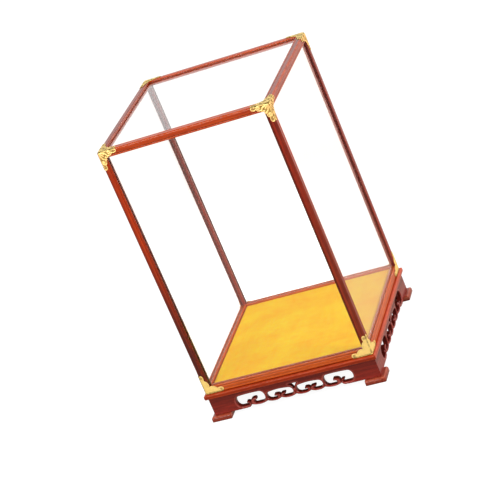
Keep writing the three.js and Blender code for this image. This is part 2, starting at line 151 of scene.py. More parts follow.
@dataclass
class Shape:
    """A surface in millimetres, with what its finish reads at each point.

    Attributes:
        points: rows of three coordinates.
        faces: blocks of faces, each block an array with one row of point numbers for each face.
        grain: for each point its place in the stock that the piece is cut from, with the grain along X.
        rubbed: for each point how much wear and painted edge light it shows, from 0 to 1.
        dirt_and_shade: for each point how much dirt, patina and painted shade darken it, from 0 to 1.
    """

    points: Array
    faces: list[Array]
    grain: Array
    rubbed: Array
    dirt_and_shade: Array

    @staticmethod
    def plain(points: Array, faces: list[Array]) -> "Shape":
        """A shape whose grain follows its own coordinates, with no wear, dirt or painted light and shade on
        it.
        """
        none = np.zeros(len(points))
        return Shape(points, faces, points.copy(), none, none.copy())

    @staticmethod
    def joined(shapes: list["Shape"]) -> "Shape":
        """Several shapes as one.

        Args:
            shapes: the shapes, which keep their order.

        Returns:
            One shape that holds the points and faces of all of them.
        """
        starts = np.cumsum([0] + [len(shape.points) for shape in shapes])
        faces = [block + start for shape, start in zip(shapes, starts) for block in shape.faces]
        return Shape(
            np.vstack([shape.points for shape in shapes]),
            faces,
            np.vstack([shape.grain for shape in shapes]),
            np.concatenate([shape.rubbed for shape in shapes]),
            np.concatenate([shape.dirt_and_shade for shape in shapes]),
        )

    def moved(self, offset: Array | Triple) -> "Shape":
        """The shape moved by an offset; its grain stays with it."""
        return replace(self, points=self.points + offset)

    def turned(self, turns: int) -> "Shape":
        """The shape turned by quarter turns about +Z; its grain stays with it."""
        return replace(self, points=quarter_turn(self.points, turns))

    def cut_from(self, start: float) -> "Shape":
        """The shape with its grain taken from another stretch of the stock, so that pieces differ."""
        return replace(self, grain=self.grain + start * STOCK_STEP)

    def build(self, name: str, crease: float = 35.0) -> Piece:
        """Makes the Blender object, with doubles merged, faces outwards and soft shading up to an angle.

        Args:
            name: the piece's name.
            crease: faces that meet at more than this many degrees keep a sharp edge.

        Returns:
            The new object, at the origin.
        """
        mesh = bpy.data.meshes.new(name)
        corners = np.concatenate([block.ravel() for block in self.faces]).astype(np.int32)
        counts = np.concatenate([np.full(len(block), block.shape[1]) for block in self.faces])
        starts = np.concatenate([[0], np.cumsum(counts)[:-1]]).astype(np.int32)
        mesh.vertices.add(len(self.points))
        mesh.vertices.foreach_set("co", (self.points * MM).astype(np.float32).ravel())
        mesh.loops.add(len(corners))
        mesh.loops.foreach_set("vertex_index", corners)
        mesh.polygons.add(len(counts))
        mesh.polygons.foreach_set("loop_start", starts)
        mesh.update(calc_edges=True)
        grain = mesh.attributes.new("grain", "FLOAT_VECTOR", "POINT")
        grain.data.foreach_set("vector", self.grain.astype(np.float32).ravel())
        for label, values in (("rubbed", self.rubbed), ("dirt_and_shade", self.dirt_and_shade)):
            attribute = mesh.attributes.new(label, "FLOAT", "POINT")
            attribute.data.foreach_set("value", values.astype(np.float32))
        merged = bmesh.new()
        merged.from_mesh(mesh)
        bmesh.ops.remove_doubles(merged, verts=merged.verts, dist=1e-3 * MM)
        bmesh.ops.dissolve_degenerate(merged, edges=merged.edges, dist=1e-4 * MM)
        bmesh.ops.recalc_face_normals(merged, faces=merged.faces)
        merged.to_mesh(mesh)
        merged.free()
        mesh.shade_smooth()
        mesh.set_sharp_from_angle(angle=math.radians(crease))
        piece = bpy.data.objects.new(name, mesh)
        bpy.context.scene.collection.objects.link(piece)
        return piece


def grid_faces(rows: int, columns: int, around: bool = False) -> Array:
    """Faces of a grid of points numbered row by row.

    Args:
        rows: number of rows of points.
        columns: number of points in a row.
        around: joins the last column to the first.

    Returns:
        One row of four point numbers for each face.
    """
    number = np.arange(rows * columns).reshape(rows, columns)
    if around:
        number = np.hstack([number, number[:, :1]])
    low_left, low_right = number[:-1, :-1], number[:-1, 1:]
    high_left, high_right = number[1:, :-1], number[1:, 1:]
    return np.stack([low_left, low_right, high_right, high_left], axis=-1).reshape(-1, 4)


@dataclass
class Section:
    """The closed section of a bar, as points with what its finish reads there.

    Attributes:
        points: rows of two coordinates, the distance in from the outer face and the height.
        rubbed: how much wear and painted edge light each point shows.
        dirt_and_shade: how much painted shade lies at each point.
    """

    points: Array
    rubbed: Array
    dirt_and_shade: Array

    # Length in mm over which the wear and painted edge light fall to 0, and the least that gets a point of
    # its own.
    FADE = 0.32
    LEAST_FADE = 0.02
    # The most of an edge that the rounding and fade of one of its corners take up.
    EDGE_SHARE = 0.45
    # From this much on, painted shade ends with the fade, and less of it thins out over the whole edge.
    MUCH_SHADE = 0.7

    @staticmethod
    def rounded(
        corners: list[Triple], shaded_corners: dict[int, float] | None = None, steps: int = 5
    ) -> "Section":
        """A polygon with its corners rounded by arcs.

        Each arc touches both edges of its corner. Its points are the centre plus the radius times the
        direction, which sweeps evenly from one edge's normal to the other's. A point leads and another
        follows each arc a little way along the edge, so that the wear and painted edge light fall to 0
        there. Much painted shade ends there too, unless the next corner is shaded as well, and a little
        painted shade thins out over the whole edge.

        Args:
            corners: each corner's two coordinates and its radius, in order round the section.
            shaded_corners: how much painted shade lies at a corner, by its number.
            steps: steps of each arc.

        Returns:
            The section.
        """
        shaded_corners = shaded_corners or {}
        most = Section.EDGE_SHARE
        count = len(corners)
        places = np.array([corner[:2] for corner in corners])
        points, rubbed, dirt_and_shade = [], [], []
        for i, (_, _, radius) in enumerate(corners):
            here = places[i]
            before, after = places[i - 1] - here, places[(i + 1) % count] - here
            reach_before, reach_after = np.linalg.norm(before), np.linalg.norm(after)
            before, after = before / reach_before, after / reach_after
            half_angle = math.acos(np.clip(before @ after, -1, 1)) / 2
            setback = min(radius / math.tan(half_angle), most * reach_before, most * reach_after)
            true_radius = setback * math.tan(half_angle)
            middle = (before + after) / np.linalg.norm(before + after)
            centre = here + middle * (true_radius / math.sin(half_angle))
            start, end = here + before * setback, here + after * setback
            from_angle = math.atan2(*(start - centre)[::-1])
            sweep = math.atan2(*(end - centre)[::-1]) - from_angle
            sweep = (sweep + math.pi) % (2 * math.pi) - math.pi
            angles = from_angle + sweep * np.linspace(0, 1, steps + 1)
            deep = shaded_corners.get(i, 0.0)
            beside = [shaded_corners.get((i + way) % count, 0.0) for way in (-1, 1)]
            ends = [deep if deep < Section.MUCH_SHADE else deep * other for other in beside]
            lead = min(Section.FADE, most * reach_before - setback)
            follow = min(Section.FADE, most * reach_after - setback)
            stretches = [(centre + true_radius * directions(angles), 1.0 - deep, deep)]
            if lead > Section.LEAST_FADE:
                stretches.insert(0, ((start + before * lead)[None], 0.0, ends[0]))
            if follow > Section.LEAST_FADE:
                stretches.append(((end + after * follow)[None], 0.0, ends[1]))
            for stretch, worn_lit, stain_and_shade in stretches:
                points.append(stretch)
                rubbed.append(np.full(len(stretch), worn_lit))
                dirt_and_shade.append(np.full(len(stretch), stain_and_shade))
        return Section(np.vstack(points), np.concatenate(rubbed), np.concatenate(dirt_and_shade))


def straight_bar(section: Section, half_length: float, mitre: float, stations: int = 25) -> Shape:
    """A bar along X, its section carried straight from one end to the other.

    A point is (s times the half length there, distance in, height), with s from -1 to 1 along the bar. The
    half length shrinks by mitre for each millimetre in from the outer face, which cuts the ends at 45
    degrees where mitre is 1 and square where it is 0.

    Args:
        section: the bar's section.
        half_length: half the length at the outer face.
        mitre: 1 for mitred ends, 0 for square ones.
        stations: number of sections along the bar.

    Returns:
        The closed bar.
    """
    count = len(section.points)
    share = np.linspace(-1, 1, stations)[:, None]
    inward, height = (np.tile(column, (stations, 1)) for column in section.points.T)
    along = share * (half_length - mitre * inward)
    points = np.stack([along, inward, height], axis=-1).reshape(-1, 3)
    end = np.arange(count)[None]
    faces = [grid_faces(stations, count, around=True), end, end + count * (stations - 1)]
    rubbed, dirt_and_shade = np.tile(section.rubbed, stations), np.tile(section.dirt_and_shade, stations)
    return Shape(points, faces, points.copy(), rubbed, dirt_and_shade)


def arc_between(start: Point, end: Point, bulge: float, steps: int) -> Array:
    """Points of the circular arc from start to end, without start.

    The centre lies on the chord's middle line, and the angle grows evenly from start to end.

    Args:
        start: two coordinates.
        end: two coordinates.
        bulge: the arc's height over its chord, to the right of the way from start to end if positive.
        steps: number of points.

    Returns:
        Rows of two coordinates, the last of them the end.
    """
    start, end = np.asarray(start, float), np.asarray(end, float)
    chord = end - start
    half = np.linalg.norm(chord) / 2
    radius = (half * half + bulge * bulge) / (2 * abs(bulge))
    outward = np.array([chord[1], -chord[0]]) / (2 * half) * np.sign(bulge)
    centre = (start + end) / 2 + outward * (abs(bulge) - radius)
    first = math.atan2(*(start - centre)[::-1])
    sweep = 2 * math.asin(min(1.0, half / radius)) * np.sign(bulge)
    angles = first + sweep * np.arange(1, steps + 1) / steps
    return centre + radius * directions(angles)


def curve_through(controls: list[Point], steps: int) -> Array:
    """Points of the curve that its control points shape, without its first.

    The controls are blended pair by pair at the share t, again and again, until one point is left.

    Args:
        controls: three or four rows of two coordinates.
        steps: number of points.

    Returns:
        Rows of two coordinates.
    """
    t = (np.arange(1, steps + 1) / steps)[:, None]
    level = [np.tile(control, (steps, 1)) for control in controls]
    while len(level) > 1:
        level = [a * (1 - t) + b * t for a, b in zip(level, level[1:])]
    return level[0]


def spaced(loop: Array, step: float) -> Array:
    """A closed outline with points added on its long edges.

    Args:
        loop: rows of two coordinates.
        step: the longest edge that is left.

    Returns:
        The outline, its own points kept.
    """
    following = np.roll(loop, -1, axis=0)
    counts = np.maximum(1, np.ceil(np.linalg.norm(following - loop, axis=1) / step)).astype(int)
    share = np.concatenate([np.arange(count) / count for count in counts])[:, None]
    return np.repeat(loop, counts, axis=0) * (1 - share) + np.repeat(following, counts, axis=0) * share


def distances(points: Array, starts: Array, ends: Array) -> Array:
    """How far each point lies from the nearest of some straight edges.

    The foot of the perpendicular is held between the edge's ends, and the distance to it is the smallest
    over all edges. The points are taken block by block, which bounds the memory.

    Args:
        points: rows of two coordinates.
        starts: the edges' first ends.
        ends: the edges' other ends.

    Returns:
        One distance for each point.
    """
    way = ends - starts
    squared_length = np.maximum((way * way).sum(1), 1e-12)
    result = np.empty(len(points))
    for first in range(0, len(points), BLOCK):
        here = points[first : first + BLOCK, None]
        share = np.clip(((here - starts) * way).sum(2) / squared_length, 0, 1)[..., None]
        result[first : first + BLOCK] = np.sqrt((((starts + share * way) - here) ** 2).sum(2).min(1))
    return result


def loop_edges(loops: list[Array]) -> tuple[Array, Array]:
    """The edges of closed outlines, as their first ends and their other ends."""
    return np.vstack(loops), np.vstack([np.roll(loop, -1, axis=0) for loop in loops])


def within(points: Array, loops: list[Array]) -> Array:
    """Which points lie inside the first outline and outside the others.

    A ray to the right of each point crosses the outlines an odd number of times where the point is in the
    material.

    Args:
        points: rows of two coordinates.
        loops: closed outlines that don't touch.

    Returns:
        True for each point in the material.
    """
    starts, ends = loop_edges(loops)
    rise = ends[:, 1] - starts[:, 1]
    slope = (ends[:, 0] - starts[:, 0]) / np.where(rise == 0, 1, rise)
    result = np.empty(len(points), bool)
    for first in range(0, len(points), BLOCK):
        x, y = points[first : first + BLOCK, :1], points[first : first + BLOCK, 1:]
        spans = (starts[:, 1] > y) != (ends[:, 1] > y)
        crossing = starts[:, 0] + (y - starts[:, 1]) * slope
        result[first : first + BLOCK] = (spans & (x < crossing)).sum(1) % 2 == 1
    return result


def numbered(loops: list[Array]) -> list[tuple[Array, Array]]:
    """For each outline the numbers of its points, counted through them all, and of the points after them."""
    first = np.cumsum([0] + [len(loop) for loop in loops])
    numbers = [np.arange(start, end) for start, end in zip(first, first[1:])]
    return [(number, np.roll(number, -1)) for number in numbers]


def filled(loops: list[Array], inner: Array = np.empty((0, 2))) -> tuple[Array, Array]:
    """Triangles that fill the first outline less the others, with corners at all the given points.

    Args:
        loops: closed outlines, the outer one first.
        inner: rows of two coordinates, points inside the material, if any.

    Returns:
        The points, and one row of three point numbers for each triangle.
    """
    points = np.vstack([*loops, inner])
    edges = [edge for pair in numbered(loops) for edge in np.stack(pair, axis=1).tolist()]
    found = delaunay_2d_cdt([Vector(point) for point in points], edges, [], 1, 1e-5)
    places = np.array([vertex[:] for vertex in found[0]])
    triangles = np.array(found[2])
    inside = within(places[triangles].mean(axis=1), loops)
    return places, triangles[inside]


@dataclass
class Relief:
    """A board's face: where it is rounded towards its edges and where grooves are cut into it.

    Attributes:
        edges: the edges that are rounded over, as first ends and other ends.
        radius: the radius of that rounding.
        fine_edges: edges that are only eased, or None.
        fine_radius: the radius of that easing.
        grooves: grooves cut into the face, each as two ends, a depth and half a width.
    """

    edges: tuple[Array, Array]
    radius: float
    fine_edges: tuple[Array, Array] | None = None
    fine_radius: float = 0.35
    grooves: list[tuple[Array, Array, float, float]] = field(default_factory=list)

    @staticmethod
    def fall(distance: Array, radius: float) -> Array:
        """How far a face has fallen at a distance from its edge, where a quarter circle rounds it over."""
        near = nearness(distance, radius)
        return radius * (1 - np.sqrt(np.maximum(0, 1 - near * near)))

    def depth(self, points: Array) -> Array:
        """How deep the face lies at each point: the deepest of its roundings and grooves.

        Args:
            points: rows of two coordinates.

        Returns:
            One depth for each point.
        """
        depth = self.fall(distances(points, *self.edges), self.radius)
        if self.fine_edges is not None:
            depth = np.maximum(depth, self.fall(distances(points, *self.fine_edges), self.fine_radius))
        for start, end, groove_depth, half_width in self.grooves:
            share = nearness(distances(points, start[None], end[None]), half_width)
            depth = np.maximum(depth, groove_depth * eased(share))
        return depth


def thinned(points: Array, spacing: float) -> Array:
    """The points less those that share a small square with an earlier one."""
    cells = np.round(points / spacing).astype(np.int64)
    first = np.unique(cells, axis=0, return_index=True)[1]
    return points[np.sort(first)]


def relief_points(loops: list[Array], relief: Relief, spacing: float) -> Array:
    """Points inside a board's outlines that are close together where its face turns.

    Rows follow the outlines at the distances where a quarter circle has turned by about even angles, and are
    left out where another edge is nearer. Even rows follow each groove, and a grid with every second line
    shifted fills the rest, less what crowds a point or an outline.

    Args:
        loops: closed outlines, the outer one first.
        relief: the board's relief.
        spacing: the grid's step.

    Returns:
        Rows of two coordinates.
    """
    starts, ends = loop_edges(loops)
    way = (ends - starts) / np.linalg.norm(ends - starts, axis=1)[:, None]
    normal = np.stack([-way[:, 1], way[:, 0]], axis=1)
    middle = (starts + ends) / 2
    turned = np.radians([14, 28, 42, 58, 76, 90])
    own_side = 0.9
    groove_step, groove_rows = 0.2, 9
    row_height = 0.87
    least_gap, least_inset = 0.09, 0.05
    found = []
    for offset in relief.radius * (1 - np.cos(turned)):
        row = np.vstack([middle + normal * offset, middle - normal * offset])
        row = row[within(row, loops)]
        found.append(row[distances(row, starts, ends) > own_side * offset])
    for start, end, _, half_width in relief.grooves:
        length = np.linalg.norm(end - start)
        line = start + (end - start) * np.linspace(0, 1, max(2, int(length / groove_step)))[:, None]
        across = np.array([start[1] - end[1], end[0] - start[0]]) / length
        found += [line + across * offset for offset in np.linspace(-1, 1, groove_rows) * half_width]
    low, high = loops[0].min(0), loops[0].max(0)
    columns = np.arange(low[0], high[0], spacing)
    lines = np.arange(low[1], high[1], spacing * row_height)
    grid = np.stack(np.meshgrid(columns, lines), axis=-1)
    grid[1::2, :, 0] += spacing / 2
    found.append(grid.reshape(-1, 2))
    points = thinned(np.vstack(found), least_gap)
    points = points[within(points, loops)]
    return points[distances(points, starts, ends) > least_inset]


def linear(colour: Colour) -> tuple[float, float, float, float]:
    """A colour in screen values from 0 to 255, as the shaders' linear values: the screen's curve undone."""
    shares = [value / 255 for value in colour]
    red, green, blue = (
        share / 12.92 if share <= 0.04045 else ((share + 0.055) / 1.055) ** 2.4 for share in shares
    )
    return red, green, blue, 1.0


class NodeSheet:
    """Short hand for laying out one node tree."""

    def __init__(self, tree: bpy.types.NodeTree) -> None:
        """Takes the tree to work on."""
        self.tree = tree

    @staticmethod
    def emptied(owner: bpy.types.Material | bpy.types.World) -> "NodeSheet":
        """The sheet of a new material or world, with no node on it."""
        owner.use_nodes = True
        owner.node_tree.nodes.clear()
        return NodeSheet(owner.node_tree)

    def add(self, kind: str, feeds: dict | None = None, **settings) -> Node:
        """Adds a node.

        Args:
            kind: the node's type.
            feeds: for input sockets by name or number, a value or the output that feeds it.
            settings: properties to set on the node.

        Returns:
            The node.
        """
        node = self.tree.nodes.new(kind)
        for name, value in settings.items():
            setattr(node, name, value)
        self.feed(node, feeds or {})
        return node

    def feed(self, node: Node, feeds: dict) -> None:
        """Feeds a node's input sockets, by name or number, with outputs or with values of their own."""
        for socket, value in feeds.items():
            if isinstance(value, Socket):
                self.tree.links.new(value, node.inputs[socket])
            else:
                node.inputs[socket].default_value = value

    def math(self, operation: str, first, second=0.0, clamp: bool = False) -> Socket:
        """The result of one sum, product or other operation on two numbers."""
        feeds = {0: first, 1: second}
        return self.add("ShaderNodeMath", feeds, operation=operation, use_clamp=clamp).outputs[0]

    def times(self, first, second) -> Socket:
        """The product of two numbers."""
        return self.math("MULTIPLY", first, second)

    def vector(self, operation: str, first, second) -> Socket:
        """The result of one operation on two vectors."""
        return self.add("ShaderNodeVectorMath", {0: first, 1: second}, operation=operation).outputs[0]

    def stretched(self, place, scales: Triple) -> Socket:
        """A place with each of its coordinates multiplied by its own scale."""
        return self.vector("MULTIPLY", place, scales)

    def axis(self, place, number: int) -> Socket:
        """One coordinate of a place."""
        return self.add("ShaderNodeSeparateXYZ", {0: place}).outputs[number]

    def blend(self, share, first, second) -> Socket:
        """Two colours blended by a share."""
        return self.add("ShaderNodeMix", {0: share, 6: first, 7: second}, data_type="RGBA").outputs[2]

    def between(self, share, first, second) -> Socket:
        """Two numbers blended by a share."""
        return self.add("ShaderNodeMix", {0: share, 2: first, 3: second}).outputs[0]

    def chosen(self, share, first, second) -> Socket:
        """Two shaders blended by a share."""
        return self.add("ShaderNodeMixShader", {0: share, 1: first, 2: second}).outputs[0]

    def rescale(
        self, value, low: float, high: float, to_low: float = 0.0, to_high: float = 1.0
    ) -> Socket:
        """A number moved softly from one range to another, held within it."""
        feeds = {0: value, 1: low, 2: high, 3: to_low, 4: to_high}
        return self.add("ShaderNodeMapRange", feeds, interpolation_type="SMOOTHSTEP").outputs[0]

    def noise(self, place, scale, detail: float, roughness: float = 0.55) -> Socket:
        """Soft noise at a place, from about 0.3 to 0.7."""
        feeds = {"Vector": place, "Scale": scale, "Detail": detail, "Roughness": roughness}
        return self.add("ShaderNodeTexNoise", feeds).outputs[0]

    def bump(self, height, strength: float, distance: float) -> Socket:
        """The normal of a surface with fine heights on it, the distance in metres."""
        feeds = {"Height": height, "Strength": strength, "Distance": distance}
        return self.add("ShaderNodeBump", feeds).outputs[0]

    def attribute(self, name: str) -> Socket:
        """A named number of the piece's points."""
        return self.add("ShaderNodeAttribute", attribute_name=name).outputs["Fac"]

    def stock_place(self) -> Socket:
        """The place in the stock that a new piece is cut from, in millimetres."""
        return self.add("ShaderNodeAttribute", attribute_name="grain").outputs["Vector"]

    def own_place(self) -> Socket:
        """The place in a piece's own coordinates, in metres."""
        return self.add("ShaderNodeTexCoord").outputs["Object"]

    def own_place_mm(self) -> Socket:
        """The place in a piece's own coordinates, in millimetres."""
        return self.stretched(self.own_place(), (1 / MM, 1 / MM, 1 / MM))


class Effect:
    """A shader node group with named inputs and outputs that several materials share."""

    groups: dict[str, bpy.types.NodeTree] = {}

    @classmethod
    def begin(
        cls, name: str, inputs: dict, outputs: tuple[str, ...]
    ) -> tuple[NodeSheet, Sockets, Node]:
        """Starts a group, whose first input is always a place.

        Args:
            name: the group's name.
            inputs: the names of the other inputs, all of them numbers, with their first values.
            outputs: names of the outputs, all of them numbers.

        Returns:
            The sheet to lay the group out on, its inputs by name, and the node that takes its outputs.
        """
        tree = bpy.data.node_groups.new(name, "ShaderNodeTree")
        tree.interface.new_socket(name="Place", in_out="INPUT", socket_type="NodeSocketVector")
        for label, value in inputs.items():
            socket = tree.interface.new_socket(name=label, in_out="INPUT", socket_type="NodeSocketFloat")
            socket.default_value = value
        for label in outputs:
            tree.interface.new_socket(name=label, in_out="OUTPUT", socket_type="NodeSocketFloat")
        cls.groups[name] = tree
        sheet = NodeSheet(tree)
        return sheet, sheet.add("NodeGroupInput").outputs, sheet.add("NodeGroupOutput")

    @classmethod
    def place(cls, sheet: NodeSheet, name: str, **feeds) -> Sockets:
        """Puts a group on a material's sheet, feeds its inputs by name and gives back its outputs."""
        return sheet.add("ShaderNodeGroup", feeds, node_tree=cls.groups[name]).outputs

    @classmethod
    def build_all(cls) -> None:
        """Builds every group once."""
        cls.grain()
        cls.wear_and_light_patches()
        cls.clouding()
        cls.weave()

    @classmethod
    def grain(cls) -> None:
        """Wood grain: noise drawn out along X, bent a little by slower noise, with short dark pores in it.

        The tone is three fifths fine streaks and two fifths broad bands. The pores are the peaks of a finer
        noise, and the ripple is the streaks less the pores.
        """
        first = {"Streak": 0.5, "Length": 30.0, "Bend": 0.6}
        sheet, take, give = cls.begin("grain", first, ("Tone", "Pores", "Ripple"))
        slow = sheet.noise(sheet.stretched(take["Place"], (0.02, 0.12, 0.12)), 1.0, 2.0)
        sway = sheet.times(sheet.math("SUBTRACT", slow, 0.5), take["Bend"])
        aside = sheet.add("ShaderNodeCombineXYZ", {1: sway, 2: sway}).outputs[0]
        narrow = sheet.math("DIVIDE", 1.0, take["Streak"])
        long = sheet.math("DIVIDE", narrow, take["Length"])
        drawn = sheet.add("ShaderNodeCombineXYZ", {0: long, 1: narrow, 2: narrow}).outputs[0]
        place = sheet.vector("MULTIPLY", sheet.vector("ADD", take["Place"], aside), drawn)
        streaks = sheet.noise(place, 1.0, 5.0, 0.62)
        bands = sheet.noise(place, 0.23, 2.0)
        tone = sheet.math("ADD", sheet.times(streaks, 0.62), sheet.times(bands, 0.38))
        peaks = sheet.noise(sheet.stretched(place, (2.6, 3.4, 3.4)), 1.0, 1.0)
        pores = sheet.rescale(peaks, 0.62, 0.72)
        ripple = sheet.math("SUBTRACT", streaks, sheet.times(pores, 0.6))
        sheet.feed(give, {"Tone": sheet.rescale(tone, 0.34, 0.66), "Pores": pores, "Ripple": ripple})

    @classmethod
    def wear_and_light_patches(cls) -> None:
        """Where an edge shows wear and painted light: its mask, broken up by noise and cut off softly."""
        sheet, take, give = cls.begin("wear_and_light_patches", {"Mask": 0.0, "Patch": 3.0, "Amount": 0.5}, ("Rubbed",))
        patches = sheet.noise(take["Place"], sheet.math("DIVIDE", 1.0, take["Patch"]), 3.0)
        broken = sheet.times(take["Mask"], sheet.rescale(patches, 0.35, 0.65, 0.25, 1.0))
        sheet.feed(give, {"Rubbed": sheet.math("MULTIPLY", broken, take["Amount"], clamp=True)})

    @classmethod
    def clouding(cls) -> None:
        """Soft patches from 0 to 1 about a middle of a half."""
        sheet, take, give = cls.begin("clouding", {"Size": 10.0, "Contrast": 1.0}, ("Cloud",))
        value = sheet.noise(take["Place"], sheet.math("DIVIDE", 1.0, take["Size"]), 3.0, 0.5)
        spread = sheet.times(sheet.math("SUBTRACT", value, 0.5), sheet.times(take["Contrast"], 3.0))
        sheet.feed(give, {"Cloud": sheet.math("ADD", spread, 0.5, clamp=True)})

    @classmethod
    def weave(cls) -> None:
        """Satin: fine threads along X, each a rounded ridge, bound by dips stepped from one to the next."""
        sheet, take, give = cls.begin("weave", {"Thread": 0.2}, ("Height", "Slub"))
        turns = sheet.math("DIVIDE", math.pi, take["Thread"])
        along, across = sheet.axis(take["Place"], 0), sheet.axis(take["Place"], 1)
        ridge = sheet.math("ABSOLUTE", sheet.math("SINE", sheet.times(across, turns)))
        stepped = sheet.math("ADD", sheet.times(along, 0.2), sheet.times(across, 0.4))
        dip = sheet.math("SINE", sheet.times(stepped, sheet.times(turns, 2.0)))
        bound = sheet.rescale(dip, 0.8, 1.0, 1.0, 0.35)
        slub = sheet.noise(sheet.stretched(take["Place"], (0.035, 1.3, 1.0)), 1.0, 3.0)
        crossing = sheet.noise(sheet.stretched(take["Place"], (1.1, 0.05, 1.0)), 1.0, 2.0)
        both = sheet.times(sheet.math("ADD", slub, crossing), 0.5)
        sheet.feed(give, {"Height": sheet.times(ridge, bound), "Slub": both})


@dataclass(frozen=True)
class Finish:
    """A finish that a material is made from.

    Attributes:
        name: the material's name.
        slot: the record's material slot that it belongs to; not used.
    """

    name: str
    slot: str

    def material(self) -> bpy.types.Material:
        """The finish's material, made at its first use around one Principled shader."""
        made = bpy.data.materials.get(self.name)
        if made is None:
            made = bpy.data.materials.new(self.name)
            sheet = NodeSheet.emptied(made)
            shader = sheet.add("ShaderNodeBsdfPrincipled", self.feeds(sheet)).outputs[0]
            sheet.add("ShaderNodeOutputMaterial", {"Surface": self.seen(sheet, shader)})
        return made

    def feeds(self, sheet: NodeSheet) -> dict:
        """What the shader's inputs take, by their names."""
        raise NotImplementedError

    def seen(self, sheet: NodeSheet, shader: Socket) -> Socket:
        """What shows of the shader: all of it, unless the finish says otherwise."""
        return shader


@dataclass(frozen=True)
class Varnished(Finish):
    """Stained hardwood under clear varnish, whose colour changes with the height as painted light and shade.

    Attributes:
        high: the wood's light and dark colour at the fade's upper height, with the light and shade found
            there painted in.
        low: the same at its lower height.
        fade: the two heights in metres between which one becomes the other.
        wear_and_light_colour: of edges and ridges that show wear, with painted light on them.
        gloss: weight of the varnish.
        pore_colour: of the pores.
        dirt_and_shade_colour: of painted shade in grooves, quirks, shaded edges and deep carving, and of the
            feet's darker lowest edge.
        roughness: of the varnished wood where the grain is dark and where it is light.
    """

    high: tuple[Colour, Colour]
    low: tuple[Colour, Colour]
    fade: tuple[float, float]
    wear_and_light_colour: Colour
    gloss: float = 1.0
    pore_colour: Colour = (38, 8, 4)
    dirt_and_shade_colour: Colour = (40, 8, 5)
    roughness: tuple[float, float] = (0.52, 0.38)

    def feeds(self, sheet: NodeSheet) -> dict:
        """Colour from the grain and the height, darker in its pores and in painted shade, and changed where
        edges show wear and painted light.
        """
        place = sheet.stock_place()
        grain = Effect.place(sheet, "grain", Place=place, Streak=0.45, Length=34.0, Bend=1.2)
        # Painted light and shade: the colours change with the height, between those at the fade's two
        # heights.
        up = sheet.rescale(sheet.axis(sheet.own_place(), 2), *self.fade)
        light, dark = (sheet.blend(up, linear(low), linear(high)) for low, high in zip(self.low, self.high))
        colour = sheet.blend(grain["Tone"], dark, light)
        patch = Effect.place(sheet, "clouding", Place=place, Size=9.0, Contrast=0.9)["Cloud"]
        colour = sheet.blend(sheet.times(patch, 0.35), colour, dark)
        colour = sheet.blend(sheet.times(grain["Pores"], 0.55), colour, linear(self.pore_colour))
        # Painted shade in grooves, quirks, shaded edges and deep carving; on the feet, their darker lowest
        # edge.
        dirt_and_shade = sheet.times(sheet.attribute("dirt_and_shade"), 0.82)
        colour = sheet.blend(dirt_and_shade, colour, linear(self.dirt_and_shade_colour))
        # Edges and ridges that show wear, with painted light on them.
        mask = sheet.attribute("rubbed")
        worn_lit = Effect.place(sheet, "wear_and_light_patches", Place=place, Mask=mask, Patch=4.0, Amount=0.65)["Rubbed"]
        return {
            "Base Color": sheet.blend(worn_lit, colour, linear(self.wear_and_light_colour)),
            "Roughness": sheet.rescale(grain["Tone"], 0.0, 1.0, *self.roughness),
            "Normal": sheet.bump(grain["Ripple"], 0.35, 0.04 * MM),
            "Specular IOR Level": 0.05,
            "Coat Weight": self.gloss,
            "Coat Roughness": 0.1,
            "Coat IOR": 1.28,
        }


@dataclass(frozen=True)
class Sawn(Finish):
    """Pale softwood as it leaves the saw.

    Attributes:
        light: the early wood's colour.
        dark: the late wood's colour.
    """

    light: Colour
    dark: Colour

    def feeds(self, sheet: NodeSheet) -> dict:
        """Grain along X with saw marks across it, in the piece's own coordinates."""
        place = sheet.own_place_mm()
        grain = Effect.place(sheet, "grain", Place=place, Streak=0.9, Length=22.0, Bend=4.0)
        marks = sheet.noise(sheet.stretched(place, (1.6, 0.05, 0.05)), 1.0, 2.0)
        height = sheet.math("ADD", grain["Ripple"], sheet.times(marks, 1.5))
        return {
            "Base Color": sheet.blend(grain["Tone"], linear(self.dark), linear(self.light)),
            "Roughness": sheet.rescale(marks, 0.3, 0.7, 0.7, 0.9),
            "Normal": sheet.bump(height, 0.5, 0.1 * MM),
        }


@dataclass(frozen=True)
class PressedBrass(Finish):
    """Thin lacquered brass, pressed in a die, with patina left in its hollows and painted shade along its
    folds.

    Attributes:
        bright: the polished metal.
        tarnish_and_shade: what lies in its hollows, also painted as shade along its folds and as a darker
            ring round its nails.
        metal: how much of its look is the metal's and not the lacquer's.
    """

    bright: Colour
    tarnish_and_shade: Colour
    metal: float

    def feeds(self, sheet: NodeSheet) -> dict:
        """Metal whose colour and roughness follow the hollows and the painted shade of the folds, a soft
        clouding and fine polishing lines.
        """
        place = sheet.stock_place()
        cloud = Effect.place(sheet, "clouding", Place=place, Size=2.2, Contrast=1.0)["Cloud"]
        # Patina in the hollows, and painted shade along the folds.
        dirt_and_shade = sheet.times(sheet.attribute("dirt_and_shade"), 0.9)
        tarnish_and_shade_share = sheet.math("ADD", dirt_and_shade, sheet.times(cloud, 0.2), clamp=True)
        colour = sheet.blend(tarnish_and_shade_share, linear(self.bright), linear(self.tarnish_and_shade))
        lines = sheet.noise(sheet.stretched(place, (0.5, 9.0, 9.0)), 1.0, 3.0)
        polished = sheet.rescale(lines, 0.3, 0.7, 0.4, 0.52)
        # Raised embossing goes back to the bright metal, as wear and painted light.
        mask = sheet.attribute("rubbed")
        worn_lit = Effect.place(sheet, "wear_and_light_patches", Place=place, Mask=mask, Patch=1.5, Amount=0.8)["Rubbed"]
        return {
            "Base Color": sheet.blend(worn_lit, colour, linear(self.bright)),
            "Roughness": sheet.math("ADD", polished, sheet.times(tarnish_and_shade_share, 0.1)),
            "Normal": sheet.bump(lines, 0.25, 0.03 * MM),
            "Metallic": self.metal,
        }


